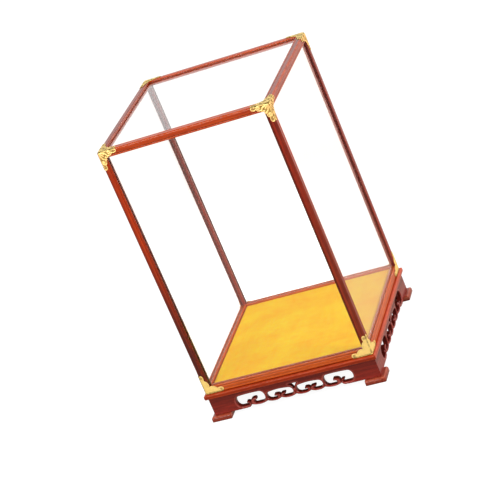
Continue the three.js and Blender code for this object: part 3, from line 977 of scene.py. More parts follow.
@dataclass(frozen=True)
class Silk(Finish):
    """Dyed satin stretched over a board.

    Attributes:
        light: the dye where it took least.
        deep: the dye where it took most.
        gap_colour: of the painted shade in the gaps between the threads.
    """

    light: Colour
    deep: Colour
    gap_colour: Colour = (190, 110, 20)

    def feeds(self, sheet: NodeSheet) -> dict:
        """Clouded dye and slubs over fine threads, with a silky sheen."""
        place = sheet.stock_place()
        weave = Effect.place(sheet, "weave", Place=place, Thread=0.22)
        broad = Effect.place(sheet, "clouding", Place=place, Size=26.0, Contrast=1.2)["Cloud"]
        fine = Effect.place(sheet, "clouding", Place=place, Size=4.5, Contrast=1.4)["Cloud"]
        slub = sheet.rescale(weave["Slub"], 0.35, 0.65)
        clouds = sheet.math("ADD", sheet.times(broad, 0.5), sheet.times(fine, 0.25))
        share = sheet.math("ADD", clouds, sheet.times(slub, 0.25))
        colour = sheet.blend(share, linear(self.light), linear(self.deep))
        # Painted shade in the gaps between the threads.
        gap = sheet.rescale(weave["Height"], 0.0, 0.5, 0.14, 0.0)
        return {
            "Base Color": sheet.blend(gap, colour, linear(self.gap_colour)),
            "Roughness": sheet.rescale(slub, 0.0, 1.0, 0.5, 0.66),
            "Normal": sheet.bump(weave["Height"], 0.5, 0.04 * MM),
            "Specular IOR Level": 0.06,
            "Sheen Weight": 0.02,
            "Sheen Roughness": 0.4,
        }


@dataclass(frozen=True)
class ClearGlass(Finish):
    """Clear drawn glass, which lets the lamps through.

    Attributes:
        tint: what it lets through.
        passed: what it lets through of the lamps' light.
    """

    tint: Colour
    passed: Colour

    def feeds(self, sheet: NodeSheet) -> dict:
        """Smooth glass, faintly uneven as it was drawn."""
        return {
            "Normal": sheet.bump(sheet.noise(sheet.own_place(), 25.0, 1.0), 0.06, 0.5 * MM),
            "Base Color": linear(self.tint),
            "Roughness": 0.0,
            "IOR": 1.5,
            "Transmission Weight": 1.0,
        }

    def seen(self, sheet: NodeSheet, shader: Socket) -> Socket:
        """The glass, but for rays from lamps and from matt faces a clear film, which throws no caustics."""
        path = sheet.add("ShaderNodeLightPath").outputs
        film = sheet.add("ShaderNodeBsdfTransparent", {0: linear(self.passed)}).outputs[0]
        matt = sheet.chosen(path["Is Diffuse Ray"], shader, film)
        return sheet.chosen(path["Is Shadow Ray"], matt, film)


@dataclass(frozen=True)
class GroundEdge(Finish):
    """The edge of a pane, ground dull, painted with the red wood that shows in it from its groove.

    Attributes:
        light: its colour where the stone has whitened it, the wood's painted colour in it too.
        dark: its colour where the varnished wood seen through it is painted strongest.
    """

    light: Colour
    dark: Colour

    def feeds(self, sheet: NodeSheet) -> dict:
        """Dull glass painted with the varnished wood seen through it, clouded by the grindstone."""
        place = sheet.own_place_mm()
        cloud = Effect.place(sheet, "clouding", Place=place, Size=1.2, Contrast=0.8)["Cloud"]
        return {
            "Base Color": sheet.blend(cloud, linear(self.light), linear(self.dark)),
            "Roughness": sheet.rescale(cloud, 0.0, 1.0, 0.75, 0.55),
        }


# Lit and shaded copies of one varnished wood, one for each post: the front left post is painted bright at the
# top and dark low down, the others with their own painted light and shade, and the back posts as they look
# through the glass.
WARM_POST_WOOD = Varnished(
    "warm_post_varnish",
    "frame_wood",
    high=((212, 66, 3), (162, 41, 2)),
    low=((98, 35, 26), (74, 25, 18)),
    fade=(0.05, 0.18),
    wear_and_light_colour=(160, 52, 16),
)
POST_WOOD = Varnished(
    "post_varnish",
    "frame_wood",
    high=((176, 46, 16), (122, 27, 11)),
    low=((168, 60, 29), (116, 37, 19)),
    fade=(0.04, 0.2),
    wear_and_light_colour=(140, 54, 32),
)
BACK_POST_WOOD = replace(
    POST_WOOD,
    name="back_post_varnish",
    high=((148, 40, 29), (98, 23, 19)),
    low=((180, 66, 50), (124, 41, 36)),
)
POST_LIGHT_AND_SHADE = {
    Corner.FRONT_LEFT: WARM_POST_WOOD,
    Corner.FRONT_RIGHT: POST_WOOD,
    Corner.BACK_RIGHT: BACK_POST_WOOD,
    Corner.BACK_LEFT: BACK_POST_WOOD,
}
# The rails are painted lighter low down than at the top, as painted light, and the top side rails get a
# darker copy, as painted shade.
RAIL_WOOD = Varnished(
    "rail_varnish",
    "frame_wood",
    high=((200, 73, 16), (160, 48, 10)),
    low=((218, 96, 24), (168, 66, 16)),
    fade=(0.03, 0.2),
    wear_and_light_colour=(198, 84, 34),
)
SIDE_RAIL_WOOD = replace(RAIL_WOOD, name="side_rail_varnish", high=((158, 50, 15), (115, 33, 11)))
# The stand's boards are painted lighter towards their top edge, as painted light, and the front board gets a
# darker, less glossy copy, as painted shade.
STAND_WOOD = Varnished(
    "stand_varnish",
    "frame_wood",
    high=((206, 70, 30), (158, 50, 20)),
    low=((184, 62, 30), (136, 44, 20)),
    fade=(0.019, 0.023),
    wear_and_light_colour=(196, 80, 46),
)
FRONT_BOARD_WOOD = Varnished(
    "front_board_varnish",
    "frame_wood",
    high=((178, 56, 15), (135, 39, 9)),
    low=((158, 47, 20), (116, 32, 14)),
    fade=(0.019, 0.023),
    wear_and_light_colour=(176, 64, 26),
    gloss=0.5,
)
# The aprons are painted darker towards their top and lighter low down, as painted light and shade, and the
# shoulders of their strands pink where they show wear, as a painted highlight.
CARVED_WOOD = Varnished(
    "carved_varnish",
    "carved_wood",
    high=((125, 35, 23), (86, 22, 16)),
    low=((156, 44, 30), (108, 27, 20)),
    fade=(0.004, 0.018),
    wear_and_light_colour=(184, 96, 84),
)
# The feet are painted lighter at the top and along the outer rounding, as a painted highlight.
FOOT_WOOD = Varnished(
    "foot_varnish",
    "carved_wood",
    high=((172, 70, 42), (126, 42, 25)),
    low=((150, 55, 33), (104, 32, 20)),
    fade=(0.0, 0.004),
    wear_and_light_colour=(214, 122, 92),
)
BARE_WOOD = Sawn("bare_wood", "plain_wood", light=(206, 170, 122), dark=(170, 128, 84))
PRESSED_BRASS = PressedBrass("pressed_brass", "brass", (250, 220, 142), (126, 104, 44), metal=0.95)
NAIL_BRASS = PressedBrass("nail_brass", "brass", (196, 150, 88), (96, 66, 30), metal=0.5)
# The bottom guards get a less metallic copy of the brass, which reads lighter, as painted light.
PLAIN_BRASS = PressedBrass("plain_brass", "brass", (250, 217, 124), (104, 80, 22), metal=0.3)
SILK = Silk("silk_satin", "silk", light=(255, 214, 32), deep=(255, 178, 14))
GROUND_EDGE = GroundEdge("ground_edge", "glass", light=(136, 86, 78), dark=(100, 60, 54))
GLASS = ClearGlass("clear_glass", "glass", tint=(254, 255, 254), passed=(252, 253, 252))


def hand_over(piece: Piece, body: Body, finish: Finish, node: str | None = None) -> None:
    """Gives a new piece its finish and says what it moves with and stands for.

    Args:
        piece: the piece, in its place.
        body: the body that it rides on.
        finish: its finish.
        node: the node that it stands for, if any.
    """
    piece.data.materials.append(finish.material())
    if node:
        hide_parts(node)
    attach(piece, body.value)
    log.info("%s: %d faces, %s", piece.name, len(piece.data.polygons), finish.name)


def put(shape: Shape, node: str, body: Body, finish: Finish, crease: float = 35.0) -> Piece:
    """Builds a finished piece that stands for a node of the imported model.

    Args:
        shape: the piece's surface, in its place.
        node: the node that it stands for.
        body: the body that it rides on.
        finish: its finish.
        crease: faces that meet at more than this many degrees keep a sharp edge.

    Returns:
        The piece.
    """
    piece = shape.build(node + "_finished", crease)
    hand_over(piece, body, finish, node)
    return piece


def thicken(piece: Piece, thickness: float, even: bool) -> None:
    """Gives an open sheet its thickness, inwards from the surface that was built.

    Args:
        piece: the sheet, its faces outwards.
        thickness: in millimetres.
        even: keeps the thickness at folds.
    """
    solid = piece.modifiers.new("thickness", "SOLIDIFY")
    solid.thickness = thickness * MM
    solid.offset = -1
    solid.use_even_offset = even


def refinish(node: str, finish: Finish) -> None:
    """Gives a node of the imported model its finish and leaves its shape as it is."""
    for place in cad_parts[node].material_slots:
        place.material = finish.material()
    log.info("%s: keeps its shape, %s", node, finish.name)


# Corners of a bar's section, counted from its outer edge, darkened as painted shade in the groove for the
# glass.
GROOVE_SHADE = dict.fromkeys((6, 7, 11, 12), 1.0)
# How much painted shade lies along the other corners of a post, and along more of those of the two front
# posts, whose inner edges are painted dark.
POST_SHADE = {0: 0.55, 4: 0.4, 14: 0.4, 5: 1.0, 13: 1.0, **dict.fromkeys((2, 8, 9, 10, 16), 0.3)}
DARKER_EDGES = {
    Corner.FRONT_LEFT: {9: 1.0, 10: 1.0, 14: 0.5},
    Corner.FRONT_RIGHT: {3: 0.8, 4: 1.0, 14: 1.0},
}
# How much painted shade lies along the corners of a top rail, besides that in its grooves, and of a bottom
# rail.
TOP_SHADE = {2: 1.0}
BOTTOM_SHADE = {2: 0.5, **dict.fromkeys((3, 4, 8, 11), 1.0)}


@dataclass
class CoverFrame:
    """The cover's posts and rails: slim square bars, each with a bead beside a quirk along its inner edges.

    Attributes:
        edge: radius of a bar's outer edge.
        bead: width of the bead along each inner edge.
        quirk: width of the quirk beside it.
        quirk_depth: how deep the quirk is cut.
        fine_quirk: height of the finer quirk on a bottom rail.
        fine_depth: how deep that one is cut.
        groove: from where to where the groove for the glass runs, in from the outer face.
        groove_depth: how deep the groove is cut.
        glue: width of the glue line in a mitre.
    """

    edge: float = 1.1
    bead: float = 1.1
    quirk: float = 0.8
    quirk_depth: float = 0.45
    fine_quirk: float = 1.7
    fine_depth: float = 0.25
    groove: tuple[float, float] = (1.2, 3.4)
    groove_depth: float = 1.6
    glue: float = 0.1

    def section(self, bar: float, shaded_corners: dict[int, float]) -> Section:
        """The section of a post or top rail, in distances in from its two outer faces.

        From the outer edge the face runs to the quirk, over the bead and into the groove, and the other
        half is the same with the two distances changed over.

        Args:
            bar: width of the bar.
            shaded_corners: how much painted shade lies along a corner, by its number, besides that in the
                grooves.

        Returns:
            The section.
        """
        near, far = self.groove
        mouth = bar - self.bead
        face = [
            (0, mouth - self.quirk, 0.18),
            (self.quirk_depth, mouth - self.quirk / 2, 0.1),
            (0, mouth, 0.45),
            (0, bar, 0.45),
            (near, bar, 0.2),
            (near, bar - self.groove_depth, 0.1),
            (far, bar - self.groove_depth, 0.1),
            (far, bar, 0.2),
        ]
        other = [(b, a, radius) for a, b, radius in reversed(face)]
        corners = [(0, 0, self.edge), *face, (bar, bar, 0.4), *other]
        return Section.rounded(corners, GROOVE_SHADE | shaded_corners)

    def bottom_section(self, bar: float) -> Section:
        """A bottom rail's section: a rounded outer edge above a quirk and a finer one, and a groove on top.

        Args:
            bar: width of the bar.

        Returns:
            The section, in distances in from the outer face and heights.
        """
        near, far = self.groove
        mouth = bar - self.bead
        corners = [
            (bar, 0, 0.3),
            (bar, bar, 0.4),
            (far, bar, 0.2),
            (far, bar - self.groove_depth, 0.1),
            (near, bar - self.groove_depth, 0.1),
            (near, bar, 0.2),
            (0, bar, 0.8),
            (0, mouth, 0.4),
            (self.quirk_depth, mouth - self.quirk / 2, 0.1),
            (0, mouth - self.quirk, 0.5),
            (0, self.fine_quirk + self.fine_depth, 0.3),
            (self.fine_depth, self.fine_quirk, 0.08),
            (0, self.fine_quirk - self.fine_depth, 0.2),
            (0, 0, 0.4),
        ]
        return Section.rounded(corners, BOTTOM_SHADE)

    def build(self) -> None:
        """Builds four posts, four top rails and four bottom rails."""
        low, high = box_mm("bottom_rail_front")
        face, bar, base = low[1], high[2] - low[2], low[2]
        half = -face - self.glue / 2
        upper = self.section(bar, TOP_SHADE)
        upper.points = upper.points * [1, -1] + [0, bar]
        top = straight_bar(upper, half, 1).moved((0, face, box_mm("top_rail_front")[0][2]))
        bottom = straight_bar(self.bottom_section(bar), half, 1).moved((0, face, base))
        foot, head = (corner[2] for corner in box_mm("post_front_left"))
        for corner in Corner:
            section = self.section(bar, POST_SHADE | DARKER_EDGES.get(corner, {}))
            post = straight_bar(section, (head - foot) / 2, 0)
            post.points = post.points[:, [1, 2, 0]] + [face, face, (head + foot) / 2]
            post = post.turned(corner.value).cut_from(corner.value + 1)
            # Each post gets its own copy of the varnish, with painted light and shade.
            put(post, f"post_{corner.label}", Body.COVER, POST_LIGHT_AND_SHADE[corner])
        for side in Side:
            rail = top.turned(side.value).cut_from(side.value * 2 + 7)
            # The side rails get a darker copy of the varnish, as painted shade.
            stain_and_shade = SIDE_RAIL_WOOD if side in (Side.LEFT, Side.RIGHT) else RAIL_WOOD
            put(rail, f"top_rail_{side.label}", Body.COVER, stain_and_shade)
            rail = bottom.turned(side.value).cut_from(side.value * 2 + 6)
            put(rail, f"bottom_rail_{side.label}", Body.COVER, RAIL_WOOD)


@dataclass
class Glazing:
    """The five panes of drawn glass, whose edges are ground.

    Attributes:
        arris: width of the narrow bevel ground along each edge.
        turned_away: a face is an edge where its normal has less than this along the pane's thickness.
    """

    arris: float = 0.3
    turned_away: float = 0.99

    def pane(self, low: Array, high: Array) -> Shape:
        """A plate with bevelled edges: four outlines, the first and the last drawn in by the bevel.

        Args:
            low: its lowest corner.
            high: its highest corner.

        Returns:
            The plate.
        """
        thin = int(np.argmin(high - low))
        wide = [axis for axis in range(3) if axis != thin]
        corners = np.array([[0, 0], [1, 0], [1, 1], [0, 1]])
        levels = (low[thin], low[thin] + self.arris, high[thin] - self.arris, high[thin])
        points = np.empty((4, 4, 3))
        for row, (level, inset) in enumerate(zip(levels, (self.arris, 0, 0, self.arris))):
            points[row][:, wide] = low[wide] + inset + corners * (high[wide] - low[wide] - 2 * inset)
            points[row][:, thin] = level
        cap = np.arange(4)[None]
        return Shape.plain(points.reshape(-1, 3), [grid_faces(4, 4, around=True), cap, cap + 12])

    def build(self) -> None:
        """Builds the panes, and gives their edges the ground finish."""
        for place in [*(side.label for side in Side), "top"]:
            node = f"pane_{place}"
            low, high = box_mm(node)
            piece = put(self.pane(low, high), node, Body.COVER, GLASS, crease=10)
            piece.data.materials.append(GROUND_EDGE.material())
            facing = np.abs(face_values(piece.data, "normal")[:, int(np.argmin(high - low))])
            edges = (facing < self.turned_away).astype(np.int32)
            piece.data.polygons.foreach_set("material_index", edges)


@dataclass
class CornerGuards:
    """Scalloped brass guards, each one sheet bent round a corner of the cover, embossed and nailed on.

    A plate is drawn flat, in distances from the wood's corner along the bar and across it. It is then laid
    on the bar's outer faces and bent over the edges.

    Attributes:
        arm: length of an arm from the wood's corner.
        short_arm: the same of a top guard, whose scrolled ends stop a little short.
        tip: width of an arm's rounded end.
        out: how far the plates reach past the wood's corner.
        base: height of the plain metal's outer surface over the wood.
        sheet: thickness of the metal.
        relief: greatest height of the embossing over the plain metal.
        bend: radius of the wood's edge, which the metal is bent over.
        rim: how far in from the edge the crest of the rim runs, and half the rim's width.
        dome: how far in from the edge a plain plate's dome starts, how much further it rises, and its
            height as a share of the relief.
        line: half the width of an embossed line.
        nail: how far from its end each arm is nailed.
        head: radius of a nail's head.
        pressed: how far round the head the metal is pressed down.
        ornate: cusps of a top plate's scalloped edge, each with the height of the lobe that ends there.
        simple: the same of a bottom plate.
    """

    arm: float = 15.5
    short_arm: float = 14.6
    tip: float = 3.7
    out: float = 0.45
    base: float = 0.27
    sheet: float = 0.22
    relief: float = 0.18
    bend: float = 1.1
    rim: tuple[float, float] = (0.42, 0.5)
    dome: Triple = (0.95, 1.6, 0.9)
    line: float = 0.75
    nail: float = 2.1
    head: float = 0.62
    pressed: float = 0.5
    ornate: Cusps = ((10.7, 2.9, 0.25), (7.8, 4.4, 0.75), (5.1, 5.1, 0.8))
    simple: Cusps = ((10.9, 2.9, 0.15), (5.2, 5.2, 1.2))

    def edge_of_arm(self, arm: float, under: float, cusps: Cusps) -> Array:
        """One arm's outline, from where its end is rounded to where the two arms meet.

        Args:
            arm: its length.
            under: level of the arm's long edge.
            cusps: points between the lobes, each with the height of the lobe that ends there.

        Returns:
            Rows of two coordinates.
        """
        over = self.tip - self.out
        half = (over - under) / 2
        start = (arm - half, under)
        points = [np.array([start]), arc_between(start, (arm - half, over), half, 12)]
        for along, across, lobe in cusps:
            points.append(arc_between(points[-1][-1], (along, across), lobe, 9))
        return np.vstack(points)

    def outline(self, arm: float, low: float, cusps: Cusps) -> Array:
        """A plate's outline: the corner, one arm, and the other arm mirrored.

        Args:
            arm: length of an arm.
            low: level of the first arm's long edge.
            cusps: points between the lobes, the last of them where the arms meet.

        Returns:
            Rows of two coordinates, evenly spaced on the long edges.
        """
        corner = np.array([[-self.base, low]])
        first = self.edge_of_arm(arm, low, cusps)
        second = self.edge_of_arm(arm, -self.base, cusps)[:-1, ::-1][::-1]
        return spaced(np.vstack([corner, first, second]), 0.4)

    def scrolls(self) -> list[Array]:
        """The embossed lines of a top plate: on each arm a spiral, its stem and two veins, and a fan.

        The spiral's radius falls evenly with the angle. The stem is a curve from the corner to its start.

        Returns:
            Open lines, as rows of two coordinates.
        """
        angle = np.linspace(-0.5 * math.pi, 1.9 * math.pi, 30)
        radius = np.linspace(1.5, 0.45, 30)
        spiral = (8.6, 1.75) + radius[:, None] * directions(angle)
        stem = curve_through([(2.0, 0.9), (5.4, -0.3), spiral[0]], 10)
        end_leaf = curve_through([(10.8, 0.4), (11.8, 0.7), (13.7, 0.7)], 6)
        vein = curve_through([(4.4, 1.8), (6.0, 2.4), (6.9, 4.4)], 6)
        arm = [np.vstack([stem, spiral[1:]]), end_leaf, vein]
        fan = [np.array([[1.6], [5.2]]) * way for way in directions(np.radians([24, 45, 66]))]
        return arm + [line[:, ::-1] for line in arm] + fan

    def embossing(self, points: Array, outline: Array, lines: list[Array]) -> Array:
        """Height over the plain metal at each point.

        A rim runs round the scalloped edge, a little way in. A plate without lines is domed within it, and
        else each line is a rounded ridge. Round each nail the metal is pressed down.

        Args:
            points: rows of two coordinates.
            outline: the plate's outline.
            lines: the embossed lines.

        Returns:
            One height for each point.
        """
        free = outline[(outline > -self.base + 0.07).all(axis=1)]
        from_edge = np.sqrt(((points[:, None] - free[None]) ** 2).sum(2)).min(1)
        crest, reach = self.rim
        height = eased(nearness(np.abs(from_edge - crest), reach))
        if not lines:
            start, reach, share = self.dome
            dome = np.clip((from_edge - start) / reach, 0, 1)
            height = np.maximum(height, dome * (2 - dome) * share)
        for line in lines:
            ridge = eased(nearness(distances(points, line[:-1], line[1:]), self.line))
            height = np.maximum(height, ridge)
        for nail in self.nail_places(outline[:, 0].max()):
            away = np.linalg.norm(points - nail, axis=1)
            height = height * np.clip((away - self.head) / self.pressed, 0, 1)
        return height * self.relief

    def nail_places(self, arm: float) -> list[Array]:
        """Where the nails go on a flat plate with arms of this length."""
        level = (self.tip - self.out - self.base) / 2
        return [np.array([arm - self.nail, level]), np.array([level, arm - self.nail])]

    def plate(self, arm: float, low: float, cusps: Cusps, lines: list[Array]) -> Shape:
        """A flat plate whose third coordinate is the height of its outer surface over the plain metal.

        Tarnish lies in the hollows, much in those between embossed lines and hardly any on a plain plate.
        Painted shade lies along the folds, further out on a plain plate, and the metal darkens in a ring
        round each nail.

        Args:
            arm: length of an arm.
            low: level of the first arm's long edge.
            cusps: points between the lobes.
            lines: the embossed lines.

        Returns:
            The plate, with dark patina where it lies low and painted shade along its folds.
        """
        outline = self.outline(arm, low, cusps)
        inner = relief_points([outline], Relief(loop_edges([outline]), 0.9), 0.32)
        points, triangles = filled([outline], inner)
        height = self.embossing(points, outline, lines)
        share = height / self.relief
        hollows, fold_reach = (0.85, 1.3) if lines else (0.05, 2.0)
        # Painted shade along the folds, where the bent metal turns away from the light.
        from_fold = points.min(axis=1) + self.base
        fold_shade = np.clip(fold_reach - from_fold / 0.6, 0, 1) * (points.max(axis=1) > 0.5)
        dirt_and_shade = np.maximum(np.clip(1 - share * 1.8, 0, 1) * hollows, fold_shade)
        for nail in self.nail_places(arm):
            from_ring = np.abs(np.linalg.norm(points - nail, axis=1) - self.head - 0.15)
            dirt_and_shade = np.maximum(dirt_and_shade, nearness(from_ring, 0.3))
        raised = np.column_stack([points, height])
        return Shape(raised, [triangles], raised.copy(), share, dirt_and_shade)

    def laid(self, plate: Shape, axes: tuple[int, int, int], bent: tuple[bool, bool, bool]) -> Shape:
        """A plate laid on one face of the bars.

        Each point goes to the level of the plain metal first. Then it is moved to lie at the bend's radius
        from the nearest point of the wood's inner block, and further out by its own height. That rounds
        every fold and leaves the flats as they are.

        Args:
            plate: the flat plate.
            axes: which axis the plate's first and second coordinate follow, and which one it faces.
            bent: along which axes the metal is bent over an edge.

        Returns:
            The plate in distances from the wood's corner.
        """
        flat = np.empty_like(plate.points)
        flat[:, axes[:2]] = plate.points[:, :2]
        flat[:, axes[2]] = -self.base
        centre = np.maximum(flat, np.where(bent, self.bend, -np.inf))
        away = flat - centre
        reach = (self.bend + self.base + plate.points[:, 2]) / np.linalg.norm(away, axis=1)
        return replace(plate, points=centre + away * reach[:, None])

    def nails(self, arm: float, axes: tuple[int, int, int]) -> Shape:
        """The domed nail heads of one plate.

        A head is rings about its middle: at the share s of its radius it stands at the square root of 1
        less s squared of its full height, and its brim is sunk a little into the plate.

        Args:
            arm: length of the plate's arms.
            axes: as for laying the plate.

        Returns:
            The heads, in distances from the wood's corner.
        """
        around, brim = 12, 0.02
        rings = np.linspace(0, 1, 5)[:, None]
        ways = directions(np.linspace(0, 2 * math.pi, around, endpoint=False))
        level = -self.base - self.relief * np.sqrt(1 - rings**2) + brim * rings**4
        heads = []
        for place in self.nail_places(arm):
            points = np.empty((len(rings), around, 3))
            points[..., axes[:2]] = place + rings[..., None] * self.head * ways
            points[..., axes[2]] = level
            heads.append(Shape.plain(points.reshape(-1, 3), [grid_faces(len(rings), around, around=True)]))
        return Shape.joined(heads)

    def build(self) -> None:
        """Builds the eight guards and their nails."""
        face = box_mm("bottom_rail_front")[0][1]
        top = box_mm("top_rail_front")[1][2]
        bottom = box_mm("bottom_corner_front_left")[0][2] + self.out
        front, left, upper = (0, 2, 1), (1, 2, 0), (0, 1, 2)
        fancy = self.plate(self.short_arm, -self.base, self.ornate, self.scrolls())
        sober = self.plate(self.arm, -self.out, self.simple, [])
        heads = []
        for kind, plate, level, way, arm, brass, faces in (
            ("top", fancy, top, -1, self.short_arm, PRESSED_BRASS, (front, left, upper)),
            ("bottom", sober, bottom, 1, self.arm, PLAIN_BRASS, (front, left)),
        ):
            bent = (True, True, kind == "top")
            guard = Shape.joined([self.laid(plate, axes, bent) for axes in faces])
            nails = Shape.joined([self.nails(arm, axes) for axes in faces])
            for shape in (guard, nails):
                shape.points = shape.points * [1, 1, way] + [face, face, level]
            for corner in Corner:
                heads.append(nails.turned(corner.value))
                shape = guard.turned(corner.value).cut_from(corner.value)
                piece = put(shape, f"{kind}_corner_{corner.label}", Body.COVER, brass, crease=60)
                self.turn_out(piece.data, np.array([0, 0, (top + bottom) / 2 * MM]))
                thicken(piece, self.sheet, even=True)
        piece = Shape.joined(heads).build("guard_nails", crease=60)
        hand_over(piece, Body.COVER, NAIL_BRASS)

    @staticmethod
    def turn_out(mesh: bpy.types.Mesh, middle: Array) -> None:
        """Turns a guard's faces so that they look away from the middle of the cover, in metres."""
        if (face_values(mesh, "normal") * (face_values(mesh, "center") - middle)).sum() < 0:
            mesh.flip_normals()


@dataclass
class StandFrame:
    """The stand's top: four flat mitred boards with a rounded outer edge.

    Attributes:
        edge: radius of the outer edge's two roundings.
        inner: radius of the inner edges.
    """

    edge: float = 1.2
    inner: float = 0.35

    def build(self) -> None:
        """Builds the four boards."""
        low, high = box_mm("base_rail_front")
        width, thick = high[1] - low[1], high[2] - low[2]
        corners = [
            (0, 0, self.edge),
            (0, thick, self.edge),
            (width, thick, self.inner),
            (width, 0, self.inner),
        ]
        board = straight_bar(Section.rounded(corners, steps=8), high[0], 1).moved((0, low[1], low[2]))
        for side in Side:
            shape = board.turned(side.value).cut_from(side.value + 20)
            # The front board gets a darker, duller copy of the varnish, as painted shade.
            stain_and_shade = FRONT_BOARD_WOOD if side is Side.FRONT else STAND_WOOD
            put(shape, f"base_rail_{side.label}", Body.STAND, stain_and_shade)


@dataclass
class FootPads:
    """Four square pads whose two outer upper edges are rounded.

    Attributes:
        round: radius of the outer upper edges.
        corner: radius of the outer upright edge.
        inmost: radius of the upright edge under the case.
        ease: radius of the lower edges and the inner upper ones, and half that of the two other upright
            edges.
    """

    round: float = 1.6
    corner: float = 0.7
    inmost: float = 0.5
    ease: float = 0.25

    def pad(self, size: float, height: float) -> Shape:
        """A pad from its outer corner at 0, 0.

        Rings run round it at heights where each rounding has turned by even angles. At each height the two
        outer sides stand in by the outer profile and the two others by the inner one. Wear and a painted
        highlight lie along the outer rounding, and the pad darkens along its lowest half millimetre.

        Args:
            size: width of the square.
            height: of the pad.

        Returns:
            The pad.
        """
        turned = np.linspace(0, math.pi / 2, 7)
        foot = self.ease * (1 - np.cos(turned))
        levels = np.concatenate([
            self.ease * (1 - np.sin(turned[::-1])),
            height - self.round + self.round * np.sin(turned),
        ])
        outer = np.concatenate([foot[::-1], self.round * (1 - np.cos(turned))])
        risen = np.clip((levels[len(foot) :] - height + self.ease) / self.ease, 0, 1)
        inner = np.concatenate([foot[::-1], self.ease * (1 - np.sqrt(1 - risen**2))])
        low_x = np.stack([outer, size - inner, size - inner, outer], axis=1)
        low_y = np.stack([outer, outer, size - inner, size - inner], axis=1)
        corners = np.stack([low_x, low_y], axis=-1)[:, :, None]
        radius = np.array([self.corner, self.ease * 2, self.inmost, self.ease * 2])[:, None, None]
        inward = np.array([[1, 1], [-1, 1], [-1, -1], [1, -1]])[:, None]
        angles = np.linspace(0, math.pi / 2, 6) + math.pi * (1 + np.arange(4)[:, None] / 2)
        arcs = np.stack([np.cos(angles), np.sin(angles)], axis=-1)
        rings = (corners + radius * (inward + arcs)).reshape(len(levels), -1, 2)
        count = rings.shape[1]
        points = np.column_stack([rings.reshape(-1, 2), np.repeat(levels, count)])
        number = np.arange(count)[None]
        faces = [grid_faces(len(levels), count, around=True), number, number + count * (len(levels) - 1)]
        outside = np.minimum(points[:, 0], points[:, 1])
        # Wear and a painted highlight on the outer rounding's upper half; the pad darkens along its lowest
        # half millimetre.
        rubbed = nearness(np.abs(outside - 0.47 * self.round), 0.5) * (points[:, 2] > height / 2)
        return Shape(points, faces, points.copy(), rubbed, np.clip(0.5 - points[:, 2], 0, 1))

    def build(self) -> None:
        """Builds the four pads."""
        low, high = box_mm("foot_front_left")
        pad = self.pad(high[0] - low[0], high[2] - low[2]).moved(low)
        for corner in Corner:
            shape = pad.turned(corner.value).cut_from(corner.value + 30)
            put(shape, f"foot_{corner.label}", Body.STAND, FOOT_WOOD)
            refinish(f"corner_block_{corner.label}", BARE_WOOD)


@dataclass(frozen=True)
class Hook:
    """One of the two hooks that rise into a cloud-shaped opening.

    Attributes:
        root: where it leaves the opening's floor, out from the saddle.
        tip: how far out from the saddle its point reaches.
        rise: height of its head, as a share of the opening's height.
    """

    root: float
    tip: float
    rise: float


@dataclass(frozen=True)
class Cloud:
    """A cloud-shaped opening on the right half of an apron.

    Attributes:
        near: its end nearer the middle, out from the apron's middle.
        width: from end to end.
        end: length of its rounded ends.
        crown_drop: how much lower it reaches than the tallest opening may.
        near_slope: fall of its upper edge towards the near end.
        arch: rise of its upper edge at mid length.
        far_sag: fall of its upper edge towards the far end.
        saddle: where its hooks meet, out from the near end.
        saddle_rise: height of that place, as a share of the opening's height.
        near_hook: the hook towards the middle.
        far_hook: the hook towards the foot.
    """

    near: float
    width: float
    end: float
    crown_drop: float
    near_slope: float
    arch: float
    far_sag: float
    saddle: float
    saddle_rise: float
    near_hook: Hook
    far_hook: Hook


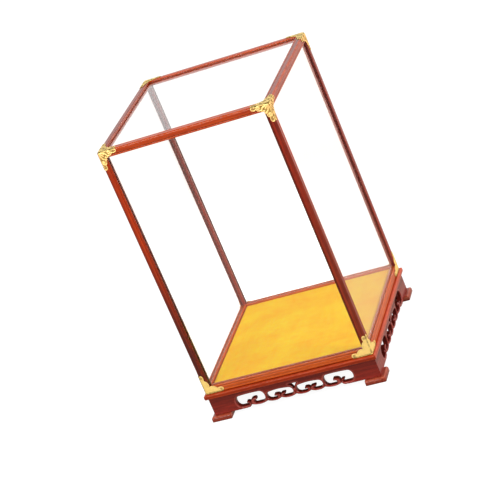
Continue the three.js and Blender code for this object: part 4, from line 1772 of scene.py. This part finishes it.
@dataclass
class ScrollAprons:
    """Four aprons pierced with cloud-shaped openings, their strands rounded and parted by cut lines.

    Attributes:
        floor: height of the openings' floors over the apron's lower edge.
        band: height of the plain band above the tallest opening.
        notch: rise of the notches between the lobes of the lower edge.
        lobe: rise of the lobes' lowest points.
        heel: reach of the last lobe towards the foot.
        heel_bulge: its bulge.
        hook_width: width of a hook's root.
        crest: how far beside the saddle the hooks' napes stand.
        wedge: width, tip, height and drop of the small opening at the middle.
        inner: the opening next to the middle.
        outer: the opening next to the foot.
        saddle_cut: of a line cut below a saddle, how far over the floor it starts, its depth and half its
            width.
        pillar_cut: the same of a line cut down a pillar.
        cut_past: how far the lines run past the tops of the notches.
        rounding: radius of the strands' edges.
        easing: radius of the apron's straight edges.
        glue: width of the glue line in a mitre.
    """

    floor: float = 2.1
    band: float = 3.4
    notch: float = 1.8
    lobe: float = 0.4
    heel: float = 4.2
    heel_bulge: float = 0.9
    hook_width: float = 2.2
    crest: float = 0.25
    wedge: tuple[float, float, float, float] = (6.8, 0.6, 4.0, 3.6)
    inner: Cloud = Cloud(
        near=1.5,
        width=20.8,
        end=3.4,
        crown_drop=2.1,
        near_slope=0.5,
        arch=0.6,
        far_sag=0.4,
        saddle=10.5,
        saddle_rise=0.26,
        near_hook=Hook(2.4, 4.1, 0.47),
        far_hook=Hook(3.0, 4.7, 0.48),
    )
    outer: Cloud = Cloud(
        near=24.0,
        width=22.9,
        end=3.6,
        crown_drop=0.0,
        near_slope=0.1,
        arch=0.3,
        far_sag=0.3,
        saddle=12.3,
        saddle_rise=0.16,
        near_hook=Hook(3.4, 5.4, 0.52),
        far_hook=Hook(1.8, 3.0, 0.32),
    )
    saddle_cut: Triple = (1.6, 0.9, 0.55)
    pillar_cut: Triple = (2.6, 0.7, 0.5)
    cut_past: float = 0.3
    rounding: float = 1.1
    easing: float = 0.35
    glue: float = 0.1

    def hook(
        self, hook: Hook, meeting: Point, floor: float, height: float, facing: int, steps: int
    ) -> Array:
        """The outline of one hook: its root, and curves over its throat, tip, head and nape to the saddle.

        Args:
            hook: its sizes.
            meeting: the point on the saddle where the hooks meet.
            floor: level of the opening's floor.
            height: of the opening.
            facing: 1 for a hook that turns towards the foot, -1 for one that turns towards the middle.
            steps: points of each curve.

        Returns:
            Rows of two coordinates, from the root to the saddle.
        """
        places = [
            (hook.root + self.hook_width / 2, 0),
            (hook.root - self.hook_width / 4, 0),
            (hook.root - self.hook_width / 6, hook.rise * 0.45),
            (hook.root, hook.rise * 0.62),
            (hook.tip, hook.rise * 0.6),
            (hook.tip + self.crest * 2, hook.rise * 1.02),
            ((hook.root + hook.tip) / 2, hook.rise),
            (self.crest, hook.rise * 1.02),
        ]
        points = [(meeting[0] + facing * out, floor + rise * height) for out, rise in places] + [meeting]
        curves = [curve_through(points[i : i + 3], steps) for i in (0, 2, 4, 6)]
        return np.vstack([points[0], *curves])

    def opening(self, cloud: Cloud, base: float, top: float) -> Array:
        """The outline of one cloud-shaped opening.

        From the near end's floor it runs up round that end, along the crown, down round the far end, back
        along the floor, up and over the far hook to the saddle, and over the near hook down to the floor.

        Args:
            cloud: its sizes.
            base: level of the apron's lower edge.
            top: level of its upper edge.

        Returns:
            Rows of two coordinates.
        """
        floor = base + self.floor
        crown = top - self.band - cloud.crown_drop
        height = crown - floor
        near, far = cloud.near, cloud.near + cloud.width
        near_crown, far_crown = crown - cloud.near_slope, crown - cloud.far_sag
        low_near, high_near = (near + cloud.end, floor), (near + cloud.end, near_crown)
        low_far, high_far = (far - cloud.end, floor), (far - cloud.end, far_crown)
        swell = cloud.end / 3
        meeting = (cloud.near + cloud.saddle, floor + cloud.saddle_rise * height)
        steps = 12
        far_hook = self.hook(cloud.far_hook, meeting, floor, height, 1, steps)
        near_hook = self.hook(cloud.near_hook, meeting, floor, height, -1, steps)
        near_end = [low_near, (near - swell, floor), (near - swell, near_crown), high_near]
        crown_line = [high_near, ((near + far) / 2, crown + cloud.arch), high_far]
        far_end = [high_far, (far + swell, far_crown), (far + swell, floor), low_far]
        curves = [curve_through(controls, steps * 2) for controls in (near_end, crown_line, far_end)]
        return spaced(np.vstack([*curves, far_hook, near_hook[::-1][1:], low_near]), 0.35)

    def lower_edge(self, base: float) -> Array:
        """The right half of the lower edge, from the last lobe by the foot to the notch at the middle.

        Args:
            base: level of the apron's lower edge.

        Returns:
            Rows of two coordinates.
        """
        inner_saddle, pillar, outer_saddle = self.notch_places()
        notches = [(place, base + self.notch) for place in (outer_saddle, pillar, inner_saddle, 0.0)]
        start = (outer_saddle + self.heel, base)
        parts = [start, arc_between(start, notches[0], -self.heel_bulge, 8)]
        for before, after in zip(notches, notches[1:]):
            parts.append(arc_between(before, after, self.lobe - self.notch, 16))
        return np.vstack(parts)

    def notch_places(self) -> Triple:
        """How far out the notches lie: under the inner saddle, the pillar and the outer saddle."""
        pillar = (self.inner.near + self.inner.width + self.outer.near) / 2
        return self.inner.near + self.inner.saddle, pillar, self.outer.near + self.outer.saddle

    def wedge_opening(self, top: float) -> Array:
        """The small opening at the middle, with hollow sides."""
        width, tip, height, drop = self.wedge
        upper, lower = top - drop, top - drop - height
        controls = [(-width / 2, upper), (-width / 4, upper - height / 5), (-tip / 2, lower)]
        left = np.vstack([controls[0], curve_through(controls, 8)])
        return spaced(np.vstack([left, (left * [-1, 1])[::-1]]), 0.3)

    def cuts(self, base: float) -> list[tuple[Array, Array, float, float]]:
        """Lines cut into the face: from each saddle and pillar down past the notch below it.

        Args:
            base: level of the apron's lower edge.

        Returns:
            For each line its two ends, its depth and half its width.
        """
        inner_saddle, pillar, outer_saddle = self.notch_places()
        lines = []
        for places, kind in (
            ((-inner_saddle, inner_saddle, -outer_saddle, outer_saddle), self.saddle_cut),
            ((-pillar, 0.0, pillar), self.pillar_cut),
        ):
            rise, depth, half_width = kind
            for place in places:
                upper = np.array([place, base + self.floor + rise])
                lower = np.array([place, base + self.notch - self.cut_past])
                lines.append((upper, lower, depth, half_width))
        return lines

    def apron(self, face: float, base: float, top: float, thickness: float) -> Shape:
        """One apron with its outer face at y = 0 and mitred ends.

        The outer face is filled with triangles and sunk by the relief, the back is flat, and walls join
        the two along every outline. A point past the mitre is moved onto it. Strands show wear and a
        painted highlight along their shoulders, and painted shade lies where the face is deep, less of it on
        the back.

        Args:
            face: half the apron's length at its outer face.
            base: level of its lower edge.
            top: level of its upper edge.
            thickness: of the board.

        Returns:
            The apron.
        """
        right = self.lower_edge(base)
        ends = np.array([[-face, top], [-face, base], [face, base], [face, top]])
        outline = spaced(np.vstack([ends[:2], right * [-1, 1], right[::-1][1:], ends[2:]]), 0.8)
        clouds = [self.opening(cloud, base, top) for cloud in (self.inner, self.outer)]
        holes = [*clouds, *[(cloud * [-1, 1])[::-1] for cloud in clouds], self.wedge_opening(top)]
        loops = [outline, *holes]
        starts, ends = loop_edges(loops)
        straight = (np.abs(starts[:, 0]) > right[0, 0] - 0.01) | (starts[:, 1] > top - 0.1)
        straight[len(outline) :] = False
        curved = (starts[~straight], ends[~straight])
        fine = (starts[straight], ends[straight])
        relief = Relief(curved, self.rounding, fine, self.easing, self.cuts(base))
        points, triangles = filled(loops, relief_points(loops, relief, 0.62))
        front, rim = len(points), sum(len(loop) for loop in loops)
        flat = np.vstack([points, points[:rim]])
        inward = np.concatenate([relief.depth(points), np.full(rim, thickness)])
        limit = face - inward - self.glue / 2
        places = np.column_stack([np.clip(flat[:, 0], -limit, limit), inward, flat[:, 1]])
        blocks = [triangles, filled(loops)[1][:, ::-1] + front]
        for number, following in numbered(loops):
            blocks.append(np.stack([number, following, following + front, number + front], axis=1))
        # Wear and a painted highlight along the strands' shoulders, and painted shade where the face is deep.
        shoulder = nearness(np.abs(distances(flat, *curved) - 1.0), 0.7)
        rubbed = shoulder * (np.arange(len(flat)) < front)
        dirt_and_shade = np.clip(inward / 0.9 - 0.35, 0, 1) * np.where(inward < self.rounding, 1.0, 0.35)
        grain = np.column_stack([flat[:, 0], inward, flat[:, 1]])
        return Shape(places, blocks, grain, rubbed, dirt_and_shade)

    def build(self) -> None:
        """Builds the four aprons."""
        low, high = box_mm("apron_front")
        front = self.apron(-low[1], low[2], high[2], high[1] - low[1]).moved((0, low[1], 0))
        for side in Side:
            shape = front.turned(side.value).cut_from(side.value + 40)
            put(shape, f"apron_{side.label}", Body.STAND, CARVED_WOOD)


@dataclass
class SilkFloor:
    """The raised floor: a board with silk stretched over it and pleated at its corners.

    Attributes:
        edge: radius of the silk over the board's edges.
        cloth: thickness of the silk.
        turned_in: how much of the flat cloth is turned down on each side, in all; not used.
        pleat: height of the pleat at each corner.
        pleat_place: how far from its corner the pleat stands, and half its width.
        sinking: half of the most that the floor sinks.
        steps: number of steps across the floor.
    """

    edge: float = 1.2
    cloth: float = 0.35
    turned_in: float = 4.8
    pleat: float = 0.35
    pleat_place: tuple[float, float] = (2.2, 0.6)
    sinking: float = 0.04
    steps: int = 150

    def build(self) -> None:
        """Builds the silk and finishes the board."""
        low, high = box_mm("silk_cover")
        half = high[0]
        along = np.linspace(-half, half, self.steps + 1)
        down = np.linspace(0, high[2] - low[2], 9)
        x, y = np.meshgrid(along, along)
        floor = np.stack([x, y, np.full_like(x, high[2])], axis=-1).reshape(-1, 3)
        top = Shape.plain(floor, [grid_faces(len(along), len(along))])
        x, drop = np.meshgrid(along, down)
        hanging = np.stack([x, np.full_like(x, -half), high[2] - drop], axis=-1).reshape(-1, 3)
        skirt = Shape.plain(hanging, [grid_faces(len(down), len(along))])
        cut_out = np.stack([x, -half - drop, np.zeros_like(x)], axis=-1).reshape(-1, 3)
        skirts = [
            replace(skirt.turned(side.value), grain=quarter_turn(cut_out, side.value)) for side in Side
        ]
        shape = Shape.joined([top, *skirts])
        shape.points = self.stretched(shape.points, half, high[2])
        piece = shape.build("silk_stretched", crease=180)
        if face_values(piece.data, "normal")[:, 2].sum() < 0:
            piece.data.flip_normals()
        thicken(piece, self.cloth, even=False)
        hand_over(piece, Body.STAND, SILK, "silk_cover")
        refinish("floor_board", BARE_WOOD)

    def stretched(self, points: Array, half: float, top: float) -> Array:
        """The box's points drawn round its edges, with pleats and a faint unevenness.

        Each point moves to lie at the edge's radius from the nearest point of the inner block. On the
        sides the cloth then draws in downwards by six tenths of the pleat's height, but for a strip beside
        each upright edge, where the pleat lies. The floor sinks a little where two slow waves meet.

        Args:
            points: the points of a box with sharp edges.
            half: half the floor's width.
            top: level of the floor.

        Returns:
            The moved points.
        """
        limit = np.array([half - self.edge, half - self.edge, top - self.edge])
        low = np.array([self.edge - half, self.edge - half, -np.inf])
        centre = np.clip(points, low, limit)
        away = points - centre
        moved = centre + away * (self.edge / np.linalg.norm(away, axis=1))[:, None]
        down = np.clip((top - moved[:, 2] - self.edge) / 3, 0, 1)
        from_corner = half - np.minimum(np.abs(moved[:, 0]), np.abs(moved[:, 1]))
        place, half_width = self.pleat_place
        on_flap = nearness(np.abs(from_corner - place), half_width) * (moved[:, 0] * moved[:, 1] > 0)
        inward = -np.sign(away[:, :2]) * (np.abs(away[:, :2]) > 0.5 * self.edge)
        moved[:, :2] += inward * (down * (1 - on_flap) * self.pleat * 0.6)[:, None]
        wave = np.sin(moved[:, 0] * 0.11 + 1.0) * np.sin(moved[:, 1] * 0.13 + 0.4)
        moved[:, 2] -= self.sinking * (1 + wave) * (points[:, 2] > top - 1e-6)
        return moved


@dataclass
class Studio:
    """A white room's soft light, a pale ground and the camera of the photograph.

    Attributes:
        place: the camera's place in metres.
        right: the camera's axis to the right.
        up: its axis upwards.
        back: its axis away from what it looks at.
        lens: focal length for a sensor 36 mm wide.
        sky: the room's light on matt faces, level with them and what it gains straight above.
        through: the room's light seen through glass, which makes up for what the panes keep back.
        mirrored: the room's light in reflections, in front of the case and behind it.
        horizon: the same low down, all round.
        lamps: for each soft lamp its name, power in watts, place and width.
        aimed_at: the place that they are turned to.
        ground_size: half the ground's width in metres.
        ground: how much light the ground gives back.
        glow: what the ground adds where it is looked at straight.
        glow_through: what it adds where it is looked at through glass, near the case and far behind it.
        ground_mirrored: the ground in reflections, far in front of the case, round it and far behind it.
        warmth: colour of those reflections, which a red case gives its surroundings.
    """

    place: Triple = (0.50856, -1.32117, 0.65225)
    right: Triple = (0.9069, 0.20546, -0.36787)
    up: Triple = (0.2441, 0.45544, 0.85615)
    back: Triple = (0.34344, -0.86624, 0.36288)
    lens: float = 145.707
    sky: tuple[float, float] = (0.58, 0.24)
    through: float = 1.2
    mirrored: tuple[float, float] = (0.25, 1.1)
    horizon: float = 1.0
    lamps: tuple[tuple[str, float, Triple, float], ...] = (
        ("key", 26.0, (-0.9, -2.1, 0.7), 1.0),
        ("fill", 36.0, (1.9, -0.5, 0.8), 1.0),
    )
    aimed_at: Triple = (0.0, 0.0, 0.12)
    ground_size: float = 6.0
    ground: float = 0.2
    glow: float = 0.93
    glow_through: tuple[float, float] = (1.35, 0.97)
    ground_mirrored: Triple = (0.8, 0.6, 1.1)
    warmth: Triple = (1.28, 0.9, 0.78)

    def build(self) -> None:
        """Builds camera, room, lamps and ground."""
        self.aim()
        self.light_room()
        self.hang_lamps()
        self.lay_ground()

    def aim(self) -> None:
        """Sets the camera up where the photograph was taken from."""
        data = bpy.data.cameras.new("camera")
        data.sensor_width = 36
        data.lens = self.lens
        camera = bpy.data.objects.new("camera", data)
        axes = Matrix((self.right, self.up, self.back)).transposed()
        camera.matrix_world = Matrix.Translation(self.place) @ axes.to_4x4()
        bpy.context.scene.collection.objects.link(camera)
        bpy.context.scene.camera = camera

    def light_room(self) -> None:
        """A room white to the eye, brighter above on matt faces, and mirrored brightly behind the case."""
        world = bpy.data.worlds.new("room")
        bpy.context.scene.world = world
        sheet = NodeSheet.emptied(world)
        way = sheet.add("ShaderNodeTexCoord").outputs["Generated"]
        backwards, upwards = sheet.axis(way, 1), sheet.axis(way, 2)
        path = sheet.add("ShaderNodeLightPath").outputs
        level, above = self.sky
        matt = sheet.math("ADD", sheet.times(sheet.math("MAXIMUM", upwards, 0.0), above), level)
        behind = sheet.rescale(backwards, -0.3, 0.5, *self.mirrored)
        mirrored = sheet.math("MAXIMUM", behind, sheet.rescale(upwards, 0.2, 0.45, self.horizon, 0.0))
        strength = sheet.between(path["Is Transmission Ray"], matt, self.through)
        strength = sheet.between(self.glanced(sheet, path), strength, mirrored)
        strength = sheet.between(path["Is Camera Ray"], strength, 1.0)
        background = sheet.add("ShaderNodeBackground", {"Color": (1, 1, 1, 1), "Strength": strength})
        sheet.add("ShaderNodeOutputWorld", {"Surface": background.outputs[0]})

    def hang_lamps(self) -> None:
        """Hangs the soft lamps, each turned to the middle of the case."""
        for name, power, place, width in self.lamps:
            lamp = bpy.data.lights.new(name, "AREA")
            lamp.energy = power
            lamp.size = width
            holder = bpy.data.objects.new(name, lamp)
            holder.location = place
            way = Vector(place) - Vector(self.aimed_at)
            holder.rotation_euler = way.to_track_quat("Z", "Y").to_euler()
            bpy.context.scene.collection.objects.link(holder)

    @staticmethod
    def glanced(sheet: NodeSheet, path: Sockets) -> Socket:
        """1 for a ray that a shiny face has thrown back and that comes to the eye, and else 0."""
        return sheet.times(path["Is Glossy Ray"], sheet.math("MINIMUM", path["Glossy Depth"], 1.0))

    def lay_ground(self) -> None:
        """Lays a wide pale ground that reads as white and keeps a soft shadow."""
        mesh = bpy.data.meshes.new("ground")
        far = self.ground_size
        corners = [(-far, -far, 0), (far, -far, 0), (far, far, 0), (-far, far, 0)]
        mesh.from_pydata(corners, [], [(0, 1, 2, 3)])
        ground = bpy.data.objects.new("ground", mesh)
        bpy.context.scene.collection.objects.link(ground)
        material = bpy.data.materials.new("pale_ground")
        sheet = NodeSheet.emptied(material)
        matt = sheet.add("ShaderNodeBsdfDiffuse", {0: (*[self.ground] * 3, 1)}).outputs[0]
        path = sheet.add("ShaderNodeLightPath").outputs
        backwards = sheet.axis(sheet.own_place(), 1)
        straight = sheet.times(path["Is Camera Ray"], self.glow)
        beyond = sheet.rescale(backwards, 0.28, 0.44, *self.glow_through)
        through = sheet.times(path["Is Transmission Ray"], beyond)
        shine = sheet.add("ShaderNodeEmission", {1: sheet.math("ADD", straight, through)}).outputs[0]
        lit = sheet.add("ShaderNodeAddShader", {0: matt, 1: shine}).outputs[0]
        front, near, back = self.ground_mirrored
        to_near = sheet.rescale(backwards, -0.45, -0.12, front, near)
        strength = sheet.math("ADD", to_near, sheet.rescale(backwards, 0.19, 0.5, 0.0, back - near))
        mirrored = sheet.add("ShaderNodeEmission", {0: (*self.warmth, 1), 1: strength}).outputs[0]
        seen = sheet.chosen(self.glanced(sheet, path), lit, mirrored)
        sheet.add("ShaderNodeOutputMaterial", {"Surface": seen})
        mesh.materials.append(material)


def main() -> None:
    """Builds the case in its studio."""
    logging.basicConfig(level=logging.INFO, format="%(name)s: %(message)s")
    bpy.context.scene.view_settings.view_transform = "Standard"
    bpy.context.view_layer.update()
    Effect.build_all()
    Studio().build()
    CoverFrame().build()
    Glazing().build()
    CornerGuards().build()
    StandFrame().build()
    FootPads().build()
    ScrollAprons().build()
    SilkFloor().build()


if __name__ == "__main__":
    main()
